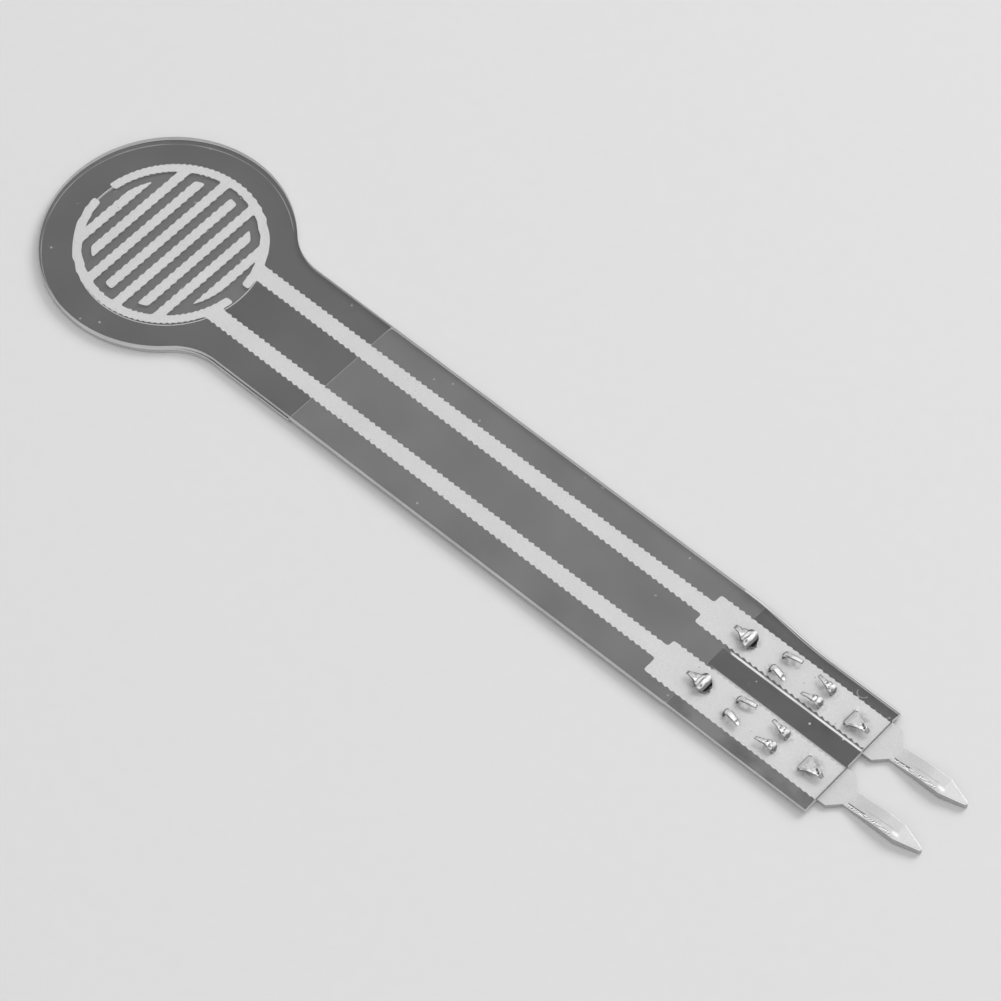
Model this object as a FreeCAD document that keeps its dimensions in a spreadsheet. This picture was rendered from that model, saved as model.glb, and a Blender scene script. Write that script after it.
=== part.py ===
import FreeCAD, Part
import math
import os
from types import SimpleNamespace

import Sketcher

# Driving sizes in millimetres
SIZES = {
    # Film outline
    "film_length": 40.0,
    "head_radius": 5.0,
    "tail_width": 5.6,
    "neck_radius": 2.5,
    "base_length": 9.2,
    "base_overhang": 0.05,
    "terminal_zone_length": 6.8,
    # Layer thicknesses
    "base_film_thickness": 0.1,
    "spacer_thickness": 0.125,
    "cover_thickness": 0.1,
    "print_thickness": 0.025,
    "resistive_thickness": 0.02,
    "top_film_thickness": 0.175,
    # Printed electrodes
    "print_shift_x": 0.08,
    "print_shift_y": 0.07,
    "ring_radius": 3.8,
    "ring_width": 0.36,
    "ring_break": 0.82,
    "ring_end_radius": 0.12,
    "finger_space": 0.355,
    "finger_end_space": 0.365,
    "finger_edge_inset": 0.012,
    "trace_spacing": 2.54,
    "trace_width": 0.7,
    "pad_spacing": 2.66,
    "pad_width": 1.56,
    "pad_length": 8.37,
    "print_clearance": 0.02,
    # Terminals
    "terminal_spacing": 2.54,
    "sheet_thickness": 0.2,
    "blade_width": 1.7,
    "blade_overlap": 6.6,
    "blade_reach": 0.33,
    "blade_corner_radius": 0.15,
    "shoulder_length": 0.45,
    "pin_width": 0.76,
    "pin_length": 2.32,
    "point_length": 1.03,
    "point_width": 0.14,
    "point_height": 0.2,
    "seam_width": 0.08,
    "seam_depth": 0.12,
    "fold_start_length": 0.3,
    # Claws
    "claw_centre_inset": 3.7,
    "outer_claw_offset": 2.45,
    "inner_claw_offset": 1.16,
    "claw_thickness": 0.16,
    "claw_tip_thickness": 0.07,
    "outer_claw_width": 0.72,
    "outer_claw_length": 0.77,
    "claw_tip_width": 0.16,
    "inner_claw_inside": 0.16,
    "inner_claw_outside": 0.56,
    "inner_claw_length": 0.69,
    "lance_end_gap": 0.05,
    "lance_point_width": 0.06,
    "slot_clearance": 0.02,
}
FINGER_COUNT = 8
UPPER = 1
LOWER = -1


class Size:
    """A length that knows both its value and the formula that binds it to the sheet."""

    def __init__(self, value, formula):
        self.value = value
        self.formula = formula

    @staticmethod
    def of(other):
        return other if isinstance(other, Size) else Size(float(other), f"({float(other)})")

    def joined(self, other, sign, value):
        return Size(value, f"({self.formula} {sign} {other.formula})")

    def __add__(self, other):
        other = Size.of(other)
        return self.joined(other, "+", self.value + other.value)

    def __sub__(self, other):
        other = Size.of(other)
        return self.joined(other, "-", self.value - other.value)

    def __mul__(self, other):
        other = Size.of(other)
        return self.joined(other, "*", self.value * other.value)

    def __truediv__(self, other):
        other = Size.of(other)
        return self.joined(other, "/", self.value / other.value)

    def __neg__(self):
        return self * -1

    def across(self, radius):
        """Returns the other coordinate of the point of a circle about the origin."""
        reach = math.sqrt(radius.value ** 2 - self.value ** 2)
        return Size(reach, f"sqrt({radius.formula} ^ 2 - {self.formula} ^ 2)")


def fill_sheet(doc):
    """Writes the driving sizes to the sheet and returns them by name."""
    sheet = doc.addObject("Spreadsheet::Sheet", "Sizes")
    for row, (name, value) in enumerate(SIZES.items(), start=1):
        sheet.set(f"A{row}", name)
        sheet.set(f"B{row}", str(value))
        sheet.setAlias(f"B{row}", name)
    doc.recompute()
    return SimpleNamespace(**{name: Size(value, f"Sizes.{name}") for name, value in SIZES.items()})


# Sketch geometry
def dimension(sketch, kind, geometry, position, size):
    """Holds one coordinate of a point at a size measured from the sketch origin."""
    number = sketch.addConstraint(Sketcher.Constraint(kind, -1, 1, geometry, position, size.value))
    sketch.setExpression(f"Constraints[{number}]", size.formula)


def add_edge(sketch, start, end, arc):
    """Adds a line, or an arc (centre x, centre y, radius, turn), and gives its ends in order."""
    first = FreeCAD.Vector(start[0].value, start[1].value, 0)
    last = FreeCAD.Vector(end[0].value, end[1].value, 0)
    if arc is None:
        return sketch.addGeometry(Part.LineSegment(first, last), False), 1, 2
    centre_x, centre_y, radius, turn = arc
    centre = FreeCAD.Vector(centre_x.value, centre_y.value, 0)
    begin, finish = (first, last) if turn > 0 else (last, first)
    angles = [math.atan2(p.y - centre.y, p.x - centre.x) for p in (begin, finish)]
    circle = Part.Circle(centre, FreeCAD.Vector(0, 0, 1), radius.value)
    number = sketch.addGeometry(Part.ArcOfCircle(circle, angles[0], angles[1]), False)
    for kind, size in (("DistanceX", centre_x), ("DistanceY", centre_y)):
        dimension(sketch, kind, number, 3, size)
    held = sketch.addConstraint(Sketcher.Constraint("Radius", number, radius.value))
    sketch.setExpression(f"Constraints[{held}]", radius.formula)
    return (number, 1, 2) if turn > 0 else (number, 2, 1)


def closed_profile(sketch, corners, arcs=None):
    """Draws a closed outline; a corner is (x, y) or (x, y, the coordinates that it is held by)."""
    arcs = arcs or {}
    count = len(corners)
    edges = [add_edge(sketch, corners[i], corners[(i + 1) % count], arcs.get(i)) for i in range(count)]
    for i in range(count):
        following = edges[(i + 1) % count]
        joint = Sketcher.Constraint("Coincident", edges[i][0], edges[i][2], following[0], following[1])
        sketch.addConstraint(joint)
    for corner, edge in zip(corners, edges):
        held_by = corner[2] if len(corner) > 2 else "xy"
        for axis, kind, size in (("x", "DistanceX", corner[0]), ("y", "DistanceY", corner[1])):
            if axis in held_by:
                dimension(sketch, kind, edge[0], edge[1], size)


def rectangle(sketch, low_x, low_y, high_x, high_y):
    corners = [(low_x, low_y), (high_x, low_y), (high_x, high_y), (low_x, high_y)]
    closed_profile(sketch, corners)


def circle(sketch, radius):
    number = sketch.addGeometry(Part.Circle(FreeCAD.Vector(), FreeCAD.Vector(0, 0, 1), radius.value), False)
    sketch.addConstraint(Sketcher.Constraint("Coincident", number, 3, -1, 1))
    held = sketch.addConstraint(Sketcher.Constraint("Radius", number, radius.value))
    sketch.setExpression(f"Constraints[{held}]", radius.formula)


class Piece:
    """One separate piece of the sensor, built up feature by feature."""

    def __init__(self, doc, label):
        self.doc = doc
        self.body = doc.addObject("PartDesign::Body", label)
        self.body.Label = label

    def place(self, **shifts):
        for axis, size in shifts.items():
            self.body.setExpression(f"Placement.Base.{axis}", size.formula)

    def sketch(self, name, plane="XY_Plane", height=None):
        sketch = self.body.newObject("Sketcher::SketchObject", f"{self.body.Label}_{name}")
        face = [f for f in self.body.Origin.OriginFeatures if f.Role == plane][0]
        sketch.AttachmentSupport = (face, "")
        sketch.MapMode = "FlatFace"
        if height is not None:
            sketch.setExpression("AttachmentOffset.Base.z", height.formula)
        return sketch

    def feature(self, kind, sketch, length, side, against_normal):
        feature = self.body.newObject(f"PartDesign::{kind}", f"{sketch.Name}_{kind.lower()}")
        feature.Profile = sketch
        feature.SideType = side
        feature.Reversed = against_normal
        feature.setExpression("Length", length.formula)
        sketch.Visibility = False
        self.doc.recompute()
        return feature

    def pad(self, sketch, length, side="One side", against_normal=False):
        return self.feature("Pad", sketch, length, side, against_normal)

    def pocket(self, sketch, length, side="One side", against_normal=False):
        before = self.body.Shape.Volume
        feature = self.feature("Pocket", sketch, length, side, against_normal)
        if self.body.Shape.Volume > before * (1 - 1e-9):
            raise ValueError(f"{feature.Name} takes nothing away")
        return feature

    def fillet_upright_edges(self, places, radius, reach=0.01):
        """Rounds the upright edges that stand at the given places."""
        wanted = []
        for number, edge in enumerate(self.body.Tip.Shape.Edges, start=1):
            middle = edge.CenterOfMass
            ends = [vertex.Point for vertex in edge.Vertexes]
            upright = len(ends) == 2 and math.hypot(ends[0].x - ends[1].x, ends[0].y - ends[1].y) < reach
            near = any(math.hypot(middle.x - x.value, middle.y - y.value) < reach for x, y in places)
            if upright and near:
                wanted.append(f"Edge{number}")
        if len(wanted) != len(places):
            raise ValueError(f"{self.body.Label} has {len(wanted)} of the {len(places)} edges to round")
        base = self.body.Tip
        feature = self.body.newObject("PartDesign::Fillet", f"{self.body.Label}_fillet_{len(self.body.Group)}")
        feature.Base = (base, wanted)
        feature.setExpression("Radius", radius.formula)
        self.doc.recompute()
        return feature


# Sizes that several pieces share
def shared_sizes(s):
    """Adds the places and heights that follow from the driving sizes."""
    s.zero = Size(0.0, "(0.0)")
    s.film_end = s.film_length - s.head_radius
    s.cover_end = s.film_end - s.terminal_zone_length
    s.pad_start = s.film_end - s.pad_length
    s.blade_start = s.film_end - s.blade_overlap
    s.shoulder = s.film_end + s.blade_reach
    s.pin_start = s.shoulder + s.shoulder_length
    s.point_start = s.pin_start + s.pin_length
    s.pin_end = s.point_start + s.point_length
    s.film_base = s.base_film_thickness + s.spacer_thickness
    s.print_base = s.film_base - s.print_thickness
    s.cover_base = s.film_base - s.cover_thickness
    s.film_top = s.film_base + s.top_film_thickness
    s.blade_base = s.print_base - s.sheet_thickness
    s.claw_top = s.film_top + s.claw_thickness
    s.ring_inner = s.ring_radius - s.ring_width
    s.ring_middle = s.ring_radius - s.ring_width / 2
    s.opening_radius = s.ring_radius + s.print_clearance
    s.finger_reach = s.ring_inner - s.finger_end_space
    field_width = (s.finger_reach - s.finger_edge_inset) * 2
    s.finger_pitch = (field_width + s.finger_space) / FINGER_COUNT
    s.finger_width = s.finger_pitch - s.finger_space
    s.claw_centre = s.film_end - s.claw_centre_inset
    root_distance = s.outer_claw_offset - s.inner_claw_offset
    s.lance_length = root_distance - s.claw_thickness * 2 - s.lance_end_gap
    return s


# Film outlines
def head_and_tail(piece, s, tail_width, tail_end, thickness):
    """Pads the round head, adds the tail and rounds the two inner corners of the neck."""
    head = piece.sketch("head")
    circle(head, s.head_radius)
    piece.pad(head, thickness)
    half_width = tail_width / 2
    tail = piece.sketch("tail")
    rectangle(tail, s.zero, -half_width, tail_end, half_width)
    piece.pad(tail, thickness)
    corner = half_width.across(s.head_radius)
    piece.fillet_upright_edges([(corner, half_width), (corner, -half_width)], s.neck_radius)


def claw_roots(s, clearance):
    """Gives the plan rectangle of each claw's leg about the blade's centre line, with a clearance."""
    legs = []
    rows = [(s.outer_claw_offset, 1, [(-s.outer_claw_width / 2, s.outer_claw_width / 2)])]
    inner_sides = [(s.inner_claw_inside, s.inner_claw_outside), (-s.inner_claw_outside, -s.inner_claw_inside)]
    rows.append((s.inner_claw_offset, -1, inner_sides))
    for offset, outward, spans in rows:
        for end in (-1, 1):
            root = s.claw_centre + offset * end
            behind = root - s.claw_thickness * (end * outward)
            low, high = (root, behind) if root.value < behind.value else (behind, root)
            for low_y, high_y in spans:
                legs.append((low - clearance, low_y - clearance, high + clearance, high_y + clearance))
    return legs


def cut_claw_slots(piece, s, depth, sides, shift_x, shift_y):
    """Cuts the slots that the claws pass through, in a piece whose own origin may be shifted."""
    slots = piece.sketch("claw_slots")
    for side in sides:
        centre_y = s.terminal_spacing / 2 * side - shift_y
        for low_x, low_y, high_x, high_y in claw_roots(s, s.slot_clearance):
            rectangle(slots, low_x - shift_x, centre_y + low_y, high_x - shift_x, centre_y + high_y)
    piece.pocket(slots, depth, against_normal=True)


def build_top_film(doc, s):
    """Makes the clear top film, which carries the print on its underside."""
    piece = Piece(doc, "top_film")
    head_and_tail(piece, s, s.tail_width, s.film_end, s.top_film_thickness)
    cut_claw_slots(piece, s, s.top_film_thickness, (UPPER, LOWER), s.zero, s.zero)
    piece.place(z=s.film_base)
    return piece.body


def build_bottom_film(doc, s):
    """Makes the clear film that closes the head and the neck from below."""
    piece = Piece(doc, "bottom_film")
    head_and_tail(piece, s, s.tail_width + s.base_overhang * 2, s.base_length, s.base_film_thickness)
    return piece.body


def trace_corners(s, side, margin, start_x, end_x):
    """Gives the outline of one trace and its pad, widened by a margin, from start to end."""
    trace_y = s.trace_spacing / 2 * side
    pad_y = s.pad_spacing / 2 * side
    half_trace = s.trace_width / 2 + margin
    half_pad = s.pad_width / 2 + margin
    pad_x = s.pad_start - s.print_shift_x - margin
    return [
        (start_x, trace_y - half_trace),
        (pad_x, trace_y - half_trace),
        (pad_x, pad_y - half_pad),
        (end_x, pad_y - half_pad),
        (end_x, pad_y + half_pad),
        (pad_x, pad_y + half_pad),
        (pad_x, trace_y + half_trace),
        (start_x, trace_y + half_trace),
    ]


def build_spacer(doc, s):
    """Makes the adhesive spacer, with the round opening and two shallow channels for the traces."""
    piece = Piece(doc, "spacer_adhesive")
    head_and_tail(piece, s, s.tail_width + s.base_overhang * 2, s.base_length, s.spacer_thickness)
    opening = piece.sketch("opening")
    opening.setExpression("AttachmentOffset.Base.x", s.print_shift_x.formula)
    opening.setExpression("AttachmentOffset.Base.y", s.print_shift_y.formula)
    circle(opening, s.opening_radius)
    piece.pocket(opening, s.spacer_thickness, against_normal=True)
    channels = piece.sketch("channels", height=s.spacer_thickness)
    half_width = s.trace_width / 2 + s.print_clearance
    for side in (UPPER, LOWER):
        centre_y = s.trace_spacing / 2 * side + s.print_shift_y
        rectangle(channels, s.print_shift_x, centre_y - half_width, s.base_length + 1, centre_y + half_width)
    piece.pocket(channels, s.print_thickness)
    piece.place(z=s.base_film_thickness)
    return piece.body


def build_tail_cover(doc, s):
    """Makes the cover film that seals the traces along the tail."""
    piece = Piece(doc, "tail_cover")
    strip = piece.sketch("strip")
    rectangle(strip, s.base_length, -s.tail_width / 2, s.cover_end, s.tail_width / 2)
    piece.pad(strip, s.cover_thickness)
    channels = piece.sketch("channels", height=s.cover_thickness)
    channels.setExpression("AttachmentOffset.Base.x", s.print_shift_x.formula)
    channels.setExpression("AttachmentOffset.Base.y", s.print_shift_y.formula)
    for side in (UPPER, LOWER):
        corners = trace_corners(s, side, s.print_clearance, s.base_length - 1, s.cover_end + 1)
        closed_profile(channels, corners)
    piece.pocket(channels, s.print_thickness)
    piece.place(z=s.cover_base)
    return piece.body


def build_resistive_disc(doc, s):
    """Makes the thin resistive print that the fingers press on."""
    piece = Piece(doc, "resistive_disc")
    disc = piece.sketch("disc")
    circle(disc, s.opening_radius - s.print_clearance)
    piece.pad(disc, s.resistive_thickness)
    piece.place(x=s.print_shift_x, y=s.print_shift_y, z=s.base_film_thickness)
    return piece.body


# Printed electrodes
def draw_half_ring(sketch, s, side):
    """Draws half of the ring, between the two breaks."""
    edge_y = s.ring_break / 2 * side
    outer_x = edge_y.across(s.ring_radius)
    inner_x = edge_y.across(s.ring_inner)
    corners = [
        (outer_x, edge_y, "y"),
        (-outer_x, edge_y, "y"),
        (-inner_x, edge_y, "y"),
        (inner_x, edge_y, "y"),
    ]
    arcs = {0: (s.zero, s.zero, s.ring_radius, side), 2: (s.zero, s.zero, s.ring_inner, -side)}
    closed_profile(sketch, corners, arcs)
    return [(corner[0], corner[1]) for corner in corners]


def draw_finger(sketch, s, number, side):
    """Draws one finger, from inside the ring to the arc on which all free ends lie."""
    centre_x = s.finger_pitch * (number - (FINGER_COUNT - 1) / 2)
    left = centre_x - s.finger_width / 2
    right = centre_x + s.finger_width / 2
    corners = [
        (left, left.across(s.finger_reach) * -side, "x"),
        (right, right.across(s.finger_reach) * -side, "x"),
        (right, right.across(s.ring_middle) * side, "x"),
        (left, left.across(s.ring_middle) * side, "x"),
    ]
    arcs = {0: (s.zero, s.zero, s.finger_reach, side), 2: (s.zero, s.zero, s.ring_middle, side)}
    closed_profile(sketch, corners, arcs)


def draw_trace(sketch, s, side):
    """Draws the trace from inside the ring, and its pad up to the end of the film."""
    low_y = s.trace_spacing / 2 * side - s.trace_width / 2
    high_y = low_y + s.trace_width
    end_x = s.film_end - s.print_shift_x
    outline = trace_corners(s, side, s.zero, low_y.across(s.ring_middle), end_x)
    corners = [(low_y.across(s.ring_middle), low_y, "y")] + outline[1:7]
    corners.append((high_y.across(s.ring_middle), high_y, "y"))
    closed_profile(sketch, corners, {7: (s.zero, s.zero, s.ring_middle, -1)})


def build_electrode(doc, s, label, side):
    """Makes one comb of the print: half ring, every second finger, trace and pad."""
    piece = Piece(doc, label)
    ring = piece.sketch("half_ring")
    ends = draw_half_ring(ring, s, side)
    piece.pad(ring, s.print_thickness)
    piece.fillet_upright_edges(ends, s.ring_end_radius)
    fingers = piece.sketch("fingers")
    first = 1 if side == UPPER else 0
    for number in range(first, FINGER_COUNT, 2):
        draw_finger(fingers, s, number, side)
    piece.pad(fingers, s.print_thickness)
    trace = piece.sketch("trace")
    draw_trace(trace, s, side)
    piece.pad(trace, s.print_thickness)
    cut_claw_slots(piece, s, s.print_thickness, (side,), s.print_shift_x, s.print_shift_y)
    piece.place(x=s.print_shift_x, y=s.print_shift_y, z=s.print_base)
    return piece.body


# Terminals
def draw_lances(sketch, s):
    """Draws the openings that the claws were cut from, which lie between each other in the blade."""
    half_outer = s.outer_claw_width / 2
    half_point = s.lance_point_width / 2
    for end in (-1, 1):
        outer_x = s.claw_centre + (s.outer_claw_offset - s.claw_thickness) * end
        outer_tip = outer_x - s.lance_length * end
        corners = [(outer_x, -half_outer), (outer_tip, -half_point), (outer_tip, half_point), (outer_x, half_outer)]
        closed_profile(sketch, corners)
        inner_x = s.claw_centre + (s.inner_claw_offset + s.claw_thickness) * end
        inner_tip = inner_x + s.lance_length * end
        for side in (-1, 1):
            outside = s.inner_claw_outside * side
            corners = [(inner_x, s.inner_claw_inside * side), (inner_x, outside)]
            corners += [(inner_tip, outside), (inner_tip, outside - s.lance_point_width * side)]
            closed_profile(sketch, corners)


def draw_blade(sketch, s):
    """Draws the flat blade with its tapered shoulder and the tongue that runs under the fold."""
    half_blade = s.blade_width / 2
    half_pin = s.pin_width / 2
    half_tongue = half_pin - s.sheet_thickness
    tongue_end = s.pin_start + s.sheet_thickness
    upper = [
        (tongue_end, half_tongue),
        (s.pin_start, half_tongue),
        (s.pin_start, half_pin),
        (s.shoulder, half_blade),
        (s.blade_start, half_blade),
    ]
    lower = [(x, -y) for x, y in reversed(upper)]
    closed_profile(sketch, upper + lower)


def draw_fold_section(sketch, s):
    """Draws the section of the folded pin: round sides, and a seam where the two edges meet."""
    full = s.sheet_thickness * 2
    side_x = s.pin_width / 2 - s.sheet_thickness
    half_seam = s.seam_width / 2
    corners = [
        (-side_x, s.zero, "x"),
        (side_x, s.zero, "x"),
        (side_x, full, "x"),
        (half_seam, full),
        (s.zero, full - s.seam_depth),
        (-half_seam, full),
        (-side_x, full, "x"),
    ]
    arcs = {
        1: (side_x, s.sheet_thickness, s.sheet_thickness, 1),
        6: (-side_x, s.sheet_thickness, s.sheet_thickness, 1),
    }
    closed_profile(sketch, corners, arcs)


def build_pin(piece, s):
    """Pads the folded pin and cuts its point, the slope of the point and the start of the fold."""
    section = piece.sketch("fold_section", "YZ_Plane", s.pin_start)
    draw_fold_section(section, s)
    piece.pad(section, s.pin_length + s.point_length)
    full = s.sheet_thickness * 2
    point = piece.sketch("point_sides")
    for side in (-1, 1):
        outside = s.pin_width * side
        corners = [(s.point_start, s.pin_width / 2 * side), (s.pin_end, s.point_width / 2 * side)]
        corners += [(s.pin_end + 1, s.point_width / 2 * side), (s.pin_end + 1, outside), (s.point_start, outside)]
        closed_profile(point, corners)
    piece.pocket(point, full, against_normal=True)
    slopes = piece.sketch("fold_slopes", "XZ_Plane")
    point_slope = [(s.point_start, full), (s.pin_end, s.point_height), (s.pin_end + 1, full + 1)]
    start_slope = [(s.pin_start, s.sheet_thickness), (s.pin_start + s.fold_start_length, full)]
    start_slope += [(s.pin_start - 1, full + 1)]
    closed_profile(slopes, point_slope)
    closed_profile(slopes, start_slope)
    piece.pocket(slopes, s.pin_width * 2, "Symmetric")


def draw_hooks(sketch, s, offset, outward, length):
    """Draws the side view of two mirrored claws: leg, tight bend and tongue on top of the film."""
    top = s.film_top - s.blade_base
    thickness = s.claw_thickness
    for end in (-1, 1):
        way = end * outward
        root = s.claw_centre + offset * end
        behind = root - thickness * way
        tip = root + length * way
        corners = [
            (behind, s.zero),
            (behind, top, "y"),
            (root, top + thickness, "x"),
            (tip, top + s.claw_tip_thickness),
            (tip, top),
            (root, top),
            (root, s.zero),
        ]
        closed_profile(sketch, corners, {1: (root, top, thickness, -way)})


def draw_tongue_waste(sketch, s):
    """Draws what is trimmed beside the tongues, so that each tapers from its leg to its tip."""
    half_outer = s.outer_claw_width / 2
    half_tip = s.claw_tip_width / 2
    beyond = s.blade_width / 2
    for end in (-1, 1):
        root = s.claw_centre + s.outer_claw_offset * end
        tip = root + s.outer_claw_length * end
        for side in (-1, 1):
            corners = [(root, half_outer * side), (tip, half_tip * side)]
            corners += [(tip + end * 1.0, half_tip * side), (tip + end * 1.0, beyond * side), (root, beyond * side)]
            closed_profile(sketch, corners)
        inner_root = s.claw_centre + s.inner_claw_offset * end
        inner_tip = inner_root - s.inner_claw_length * end
        tip_inside = s.inner_claw_outside - s.claw_tip_width
        corners = [(inner_root, s.inner_claw_inside), (inner_tip, tip_inside), (inner_tip, -tip_inside)]
        corners += [(inner_root, -s.inner_claw_inside)]
        closed_profile(sketch, corners)


def build_claws(piece, s):
    """Adds the four rows of claws to the blade and trims their tongues."""
    outer = piece.sketch("outer_claws", "XZ_Plane")
    draw_hooks(outer, s, s.outer_claw_offset, 1, s.outer_claw_length)
    piece.pad(outer, s.outer_claw_width, "Symmetric")
    inner = piece.sketch("inner_claws", "XZ_Plane", s.inner_claw_inside)
    draw_hooks(inner, s, s.inner_claw_offset, -1, s.inner_claw_length)
    lower_claws = piece.pad(inner, s.inner_claw_outside - s.inner_claw_inside)
    mirrored = piece.body.newObject("PartDesign::Mirrored", f"{piece.body.Label}_inner_claws_mirrored")
    mirrored.Originals = [lower_claws]
    middle = [f for f in piece.body.Origin.OriginFeatures if f.Role == "XZ_Plane"][0]
    mirrored.MirrorPlane = (middle, [""])
    piece.body.Tip = mirrored
    piece.doc.recompute()
    waste = piece.sketch("tongue_waste", height=s.film_top - s.blade_base)
    draw_tongue_waste(waste, s)
    piece.pocket(waste, s.claw_thickness * 2, against_normal=True)


def build_terminal(doc, s, label, side):
    """Makes one crimp terminal from a single sheet: folded pin, lanced blade and claws."""
    piece = Piece(doc, label)
    build_pin(piece, s)
    blade = piece.sketch("blade")
    draw_blade(blade, s)
    draw_lances(blade, s)
    piece.pad(blade, s.sheet_thickness)
    half_blade = s.blade_width / 2
    corners = [(s.blade_start, half_blade), (s.blade_start, -half_blade)]
    piece.fillet_upright_edges(corners, s.blade_corner_radius)
    build_claws(piece, s)
    piece.place(y=s.terminal_spacing / 2 * side, z=s.blade_base)
    return piece.body


def check_document(doc, pieces):
    """Stops when any object has failed or any piece is empty or not valid."""
    doc.recompute()
    for item in doc.Objects:
        if "Invalid" in item.State or "Error" in item.State:
            raise ValueError(f"{item.Name} failed: {item.State}")
    for body in pieces:
        if body.Shape.isNull() or not body.Shape.isValid() or len(body.Shape.Solids) != 1:
            raise ValueError(f"{body.Label} is not one sound solid")


def main():
    doc = FreeCAD.newDocument("force_sensing_resistor")
    s = shared_sizes(fill_sheet(doc))
    pieces = [
        build_top_film(doc, s),
        build_electrode(doc, s, "electrode_upper", UPPER),
        build_electrode(doc, s, "electrode_lower", LOWER),
        build_spacer(doc, s),
        build_resistive_disc(doc, s),
        build_bottom_film(doc, s),
        build_tail_cover(doc, s),
        build_terminal(doc, s, "terminal_upper", UPPER),
        build_terminal(doc, s, "terminal_lower", LOWER),
    ]
    check_document(doc, pieces)
    os.makedirs("parts", exist_ok=True)
    for body in pieces:
        body.Shape.exportStep(f"parts/{body.Label}.step")
        box = body.Shape.BoundBox
        print(f"{body.Label}: {body.Shape.Volume:.4f} mm3, x {box.XMin:.2f} to {box.XMax:.2f}, "
              f"y {box.YMin:.2f} to {box.YMax:.2f}, z {box.ZMin:.3f} to {box.ZMax:.3f}")


main()
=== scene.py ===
"""Dressed model of a round film force sensor: clear films, printed silver combs and crimped pins.

All lengths are in millimetres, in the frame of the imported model, until a mesh is made.
"""

import logging
import math
from collections.abc import Sequence
from dataclasses import dataclass
from enum import Enum
from functools import partialmethod, reduce
from operator import or_
from typing import ClassVar

import bpy
import numpy as np
from mathutils import Matrix, Vector
from mathutils.geometry import delaunay_2d_cdt


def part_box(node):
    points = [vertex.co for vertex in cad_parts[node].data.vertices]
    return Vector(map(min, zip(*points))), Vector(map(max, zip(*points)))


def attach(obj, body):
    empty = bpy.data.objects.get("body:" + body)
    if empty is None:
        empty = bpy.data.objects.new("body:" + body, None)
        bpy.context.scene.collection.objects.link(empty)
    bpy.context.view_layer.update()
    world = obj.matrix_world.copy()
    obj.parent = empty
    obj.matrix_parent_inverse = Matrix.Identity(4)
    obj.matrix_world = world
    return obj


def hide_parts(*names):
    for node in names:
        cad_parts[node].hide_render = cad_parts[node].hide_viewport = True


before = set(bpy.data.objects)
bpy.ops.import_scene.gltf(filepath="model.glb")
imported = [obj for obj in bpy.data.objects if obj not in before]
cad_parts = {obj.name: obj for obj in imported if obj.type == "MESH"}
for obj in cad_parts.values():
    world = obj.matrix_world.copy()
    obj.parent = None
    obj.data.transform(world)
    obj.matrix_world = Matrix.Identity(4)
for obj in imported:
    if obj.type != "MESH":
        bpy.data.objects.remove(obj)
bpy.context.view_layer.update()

LOG = logging.getLogger("force_sensor")

# Metres in a millimetre, the body that all pieces ride on, and lengths in millimetres and angles
# in degrees that several pieces share.
MM = 0.001
ROOT = "root"
LAYER_GAP = 0.003
PIN_SPACING = 2.54
SHARP_ANGLE = 38.0
BEVEL_ANGLE = 50.0
BUMP_HEIGHT = 0.02
NO_POINTS = np.empty((0, 2))

# How far the spacer's opening lies off the print's middle, and how much smaller it is.
OPENING_SHIFT = (0.12, -0.1)
OPENING_INSET = 0.08

# The printing screen: distance between its threads, the teeth's height and rising share, and
# the direction across the threads.
SCREEN_PITCH = 0.227
TOOTH_DEPTH = 0.09
TOOTH_RISE = 0.7
SCREEN_DIRECTION = np.array([math.cos(math.radians(38.7)), math.sin(math.radians(38.7))])


class Side(Enum):
    """The two halves of the sensor, seen from the printed side with the pins to the right."""

    UPPER = 1
    LOWER = -1


# A pad's inner and outer edge, from the print's middle line.
PAD_EDGES = {Side.UPPER: (0.52, 2.03), Side.LOWER: (0.6, 2.27)}


# Frame sizes
def node_box(node: str) -> tuple[np.ndarray, np.ndarray]:
    """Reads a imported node's box.

    Args:
        node: The node's name.

    Returns:
        Its lowest and highest corner, in millimetres.
    """
    low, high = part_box(node)
    return np.array(low) / MM, np.array(high) / MM


# Outlines
def arc(radius: float, start: float, end: float, centre: tuple[float, float] = (0.0, 0.0)) -> np.ndarray:
    """Points of a circle from one angle to another, evenly spaced by angle.

    Args:
        radius: Radius of the circle.
        start: First angle in radians.
        end: Last angle in radians.
        centre: Centre of the circle.

    Returns:
        An array of points, one row each.
    """
    count = max(8, int(abs(end - start) * radius / 0.05))
    angle = np.linspace(start, end, count)
    return np.stack([centre[0] + radius * np.cos(angle), centre[1] + radius * np.sin(angle)], axis=1)


def respaced(outline: np.ndarray, step: float) -> np.ndarray:
    """Gives a closed outline points at an even spacing along its length.

    Args:
        outline: Corner points of the closed outline.
        step: Wanted distance between two points.

    Returns:
        The evenly spaced points.
    """
    closed = np.vstack([outline, outline[:1]])
    length = np.concatenate([[0.0], np.cumsum(np.linalg.norm(np.diff(closed, axis=0), axis=1))])
    at = np.linspace(0.0, length[-1], max(12, int(length[-1] / step)), endpoint=False)
    return np.stack([np.interp(at, length, closed[:, axis]) for axis in (0, 1)], axis=1)


def bell_weights(reach: int, spread: float) -> np.ndarray:
    """Returns bell-shaped weights for so many neighbours on each side, with the sum 1."""
    weights = np.exp(-0.5 * (np.arange(-reach, reach + 1) / spread) ** 2)
    return weights / weights.sum()


def softened(outline: np.ndarray, reach: int) -> np.ndarray:
    """Rounds every corner: each point becomes the bell-weighted mean of its neighbours.

    Args:
        outline: Evenly spaced points of a closed outline.
        reach: How many neighbours on each side take part.

    Returns:
        The rounded outline.
    """
    weights = bell_weights(reach, reach / 2.2)
    return sum(weight * np.roll(outline, -offset, axis=0) for offset, weight in enumerate(weights, -reach))


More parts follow.
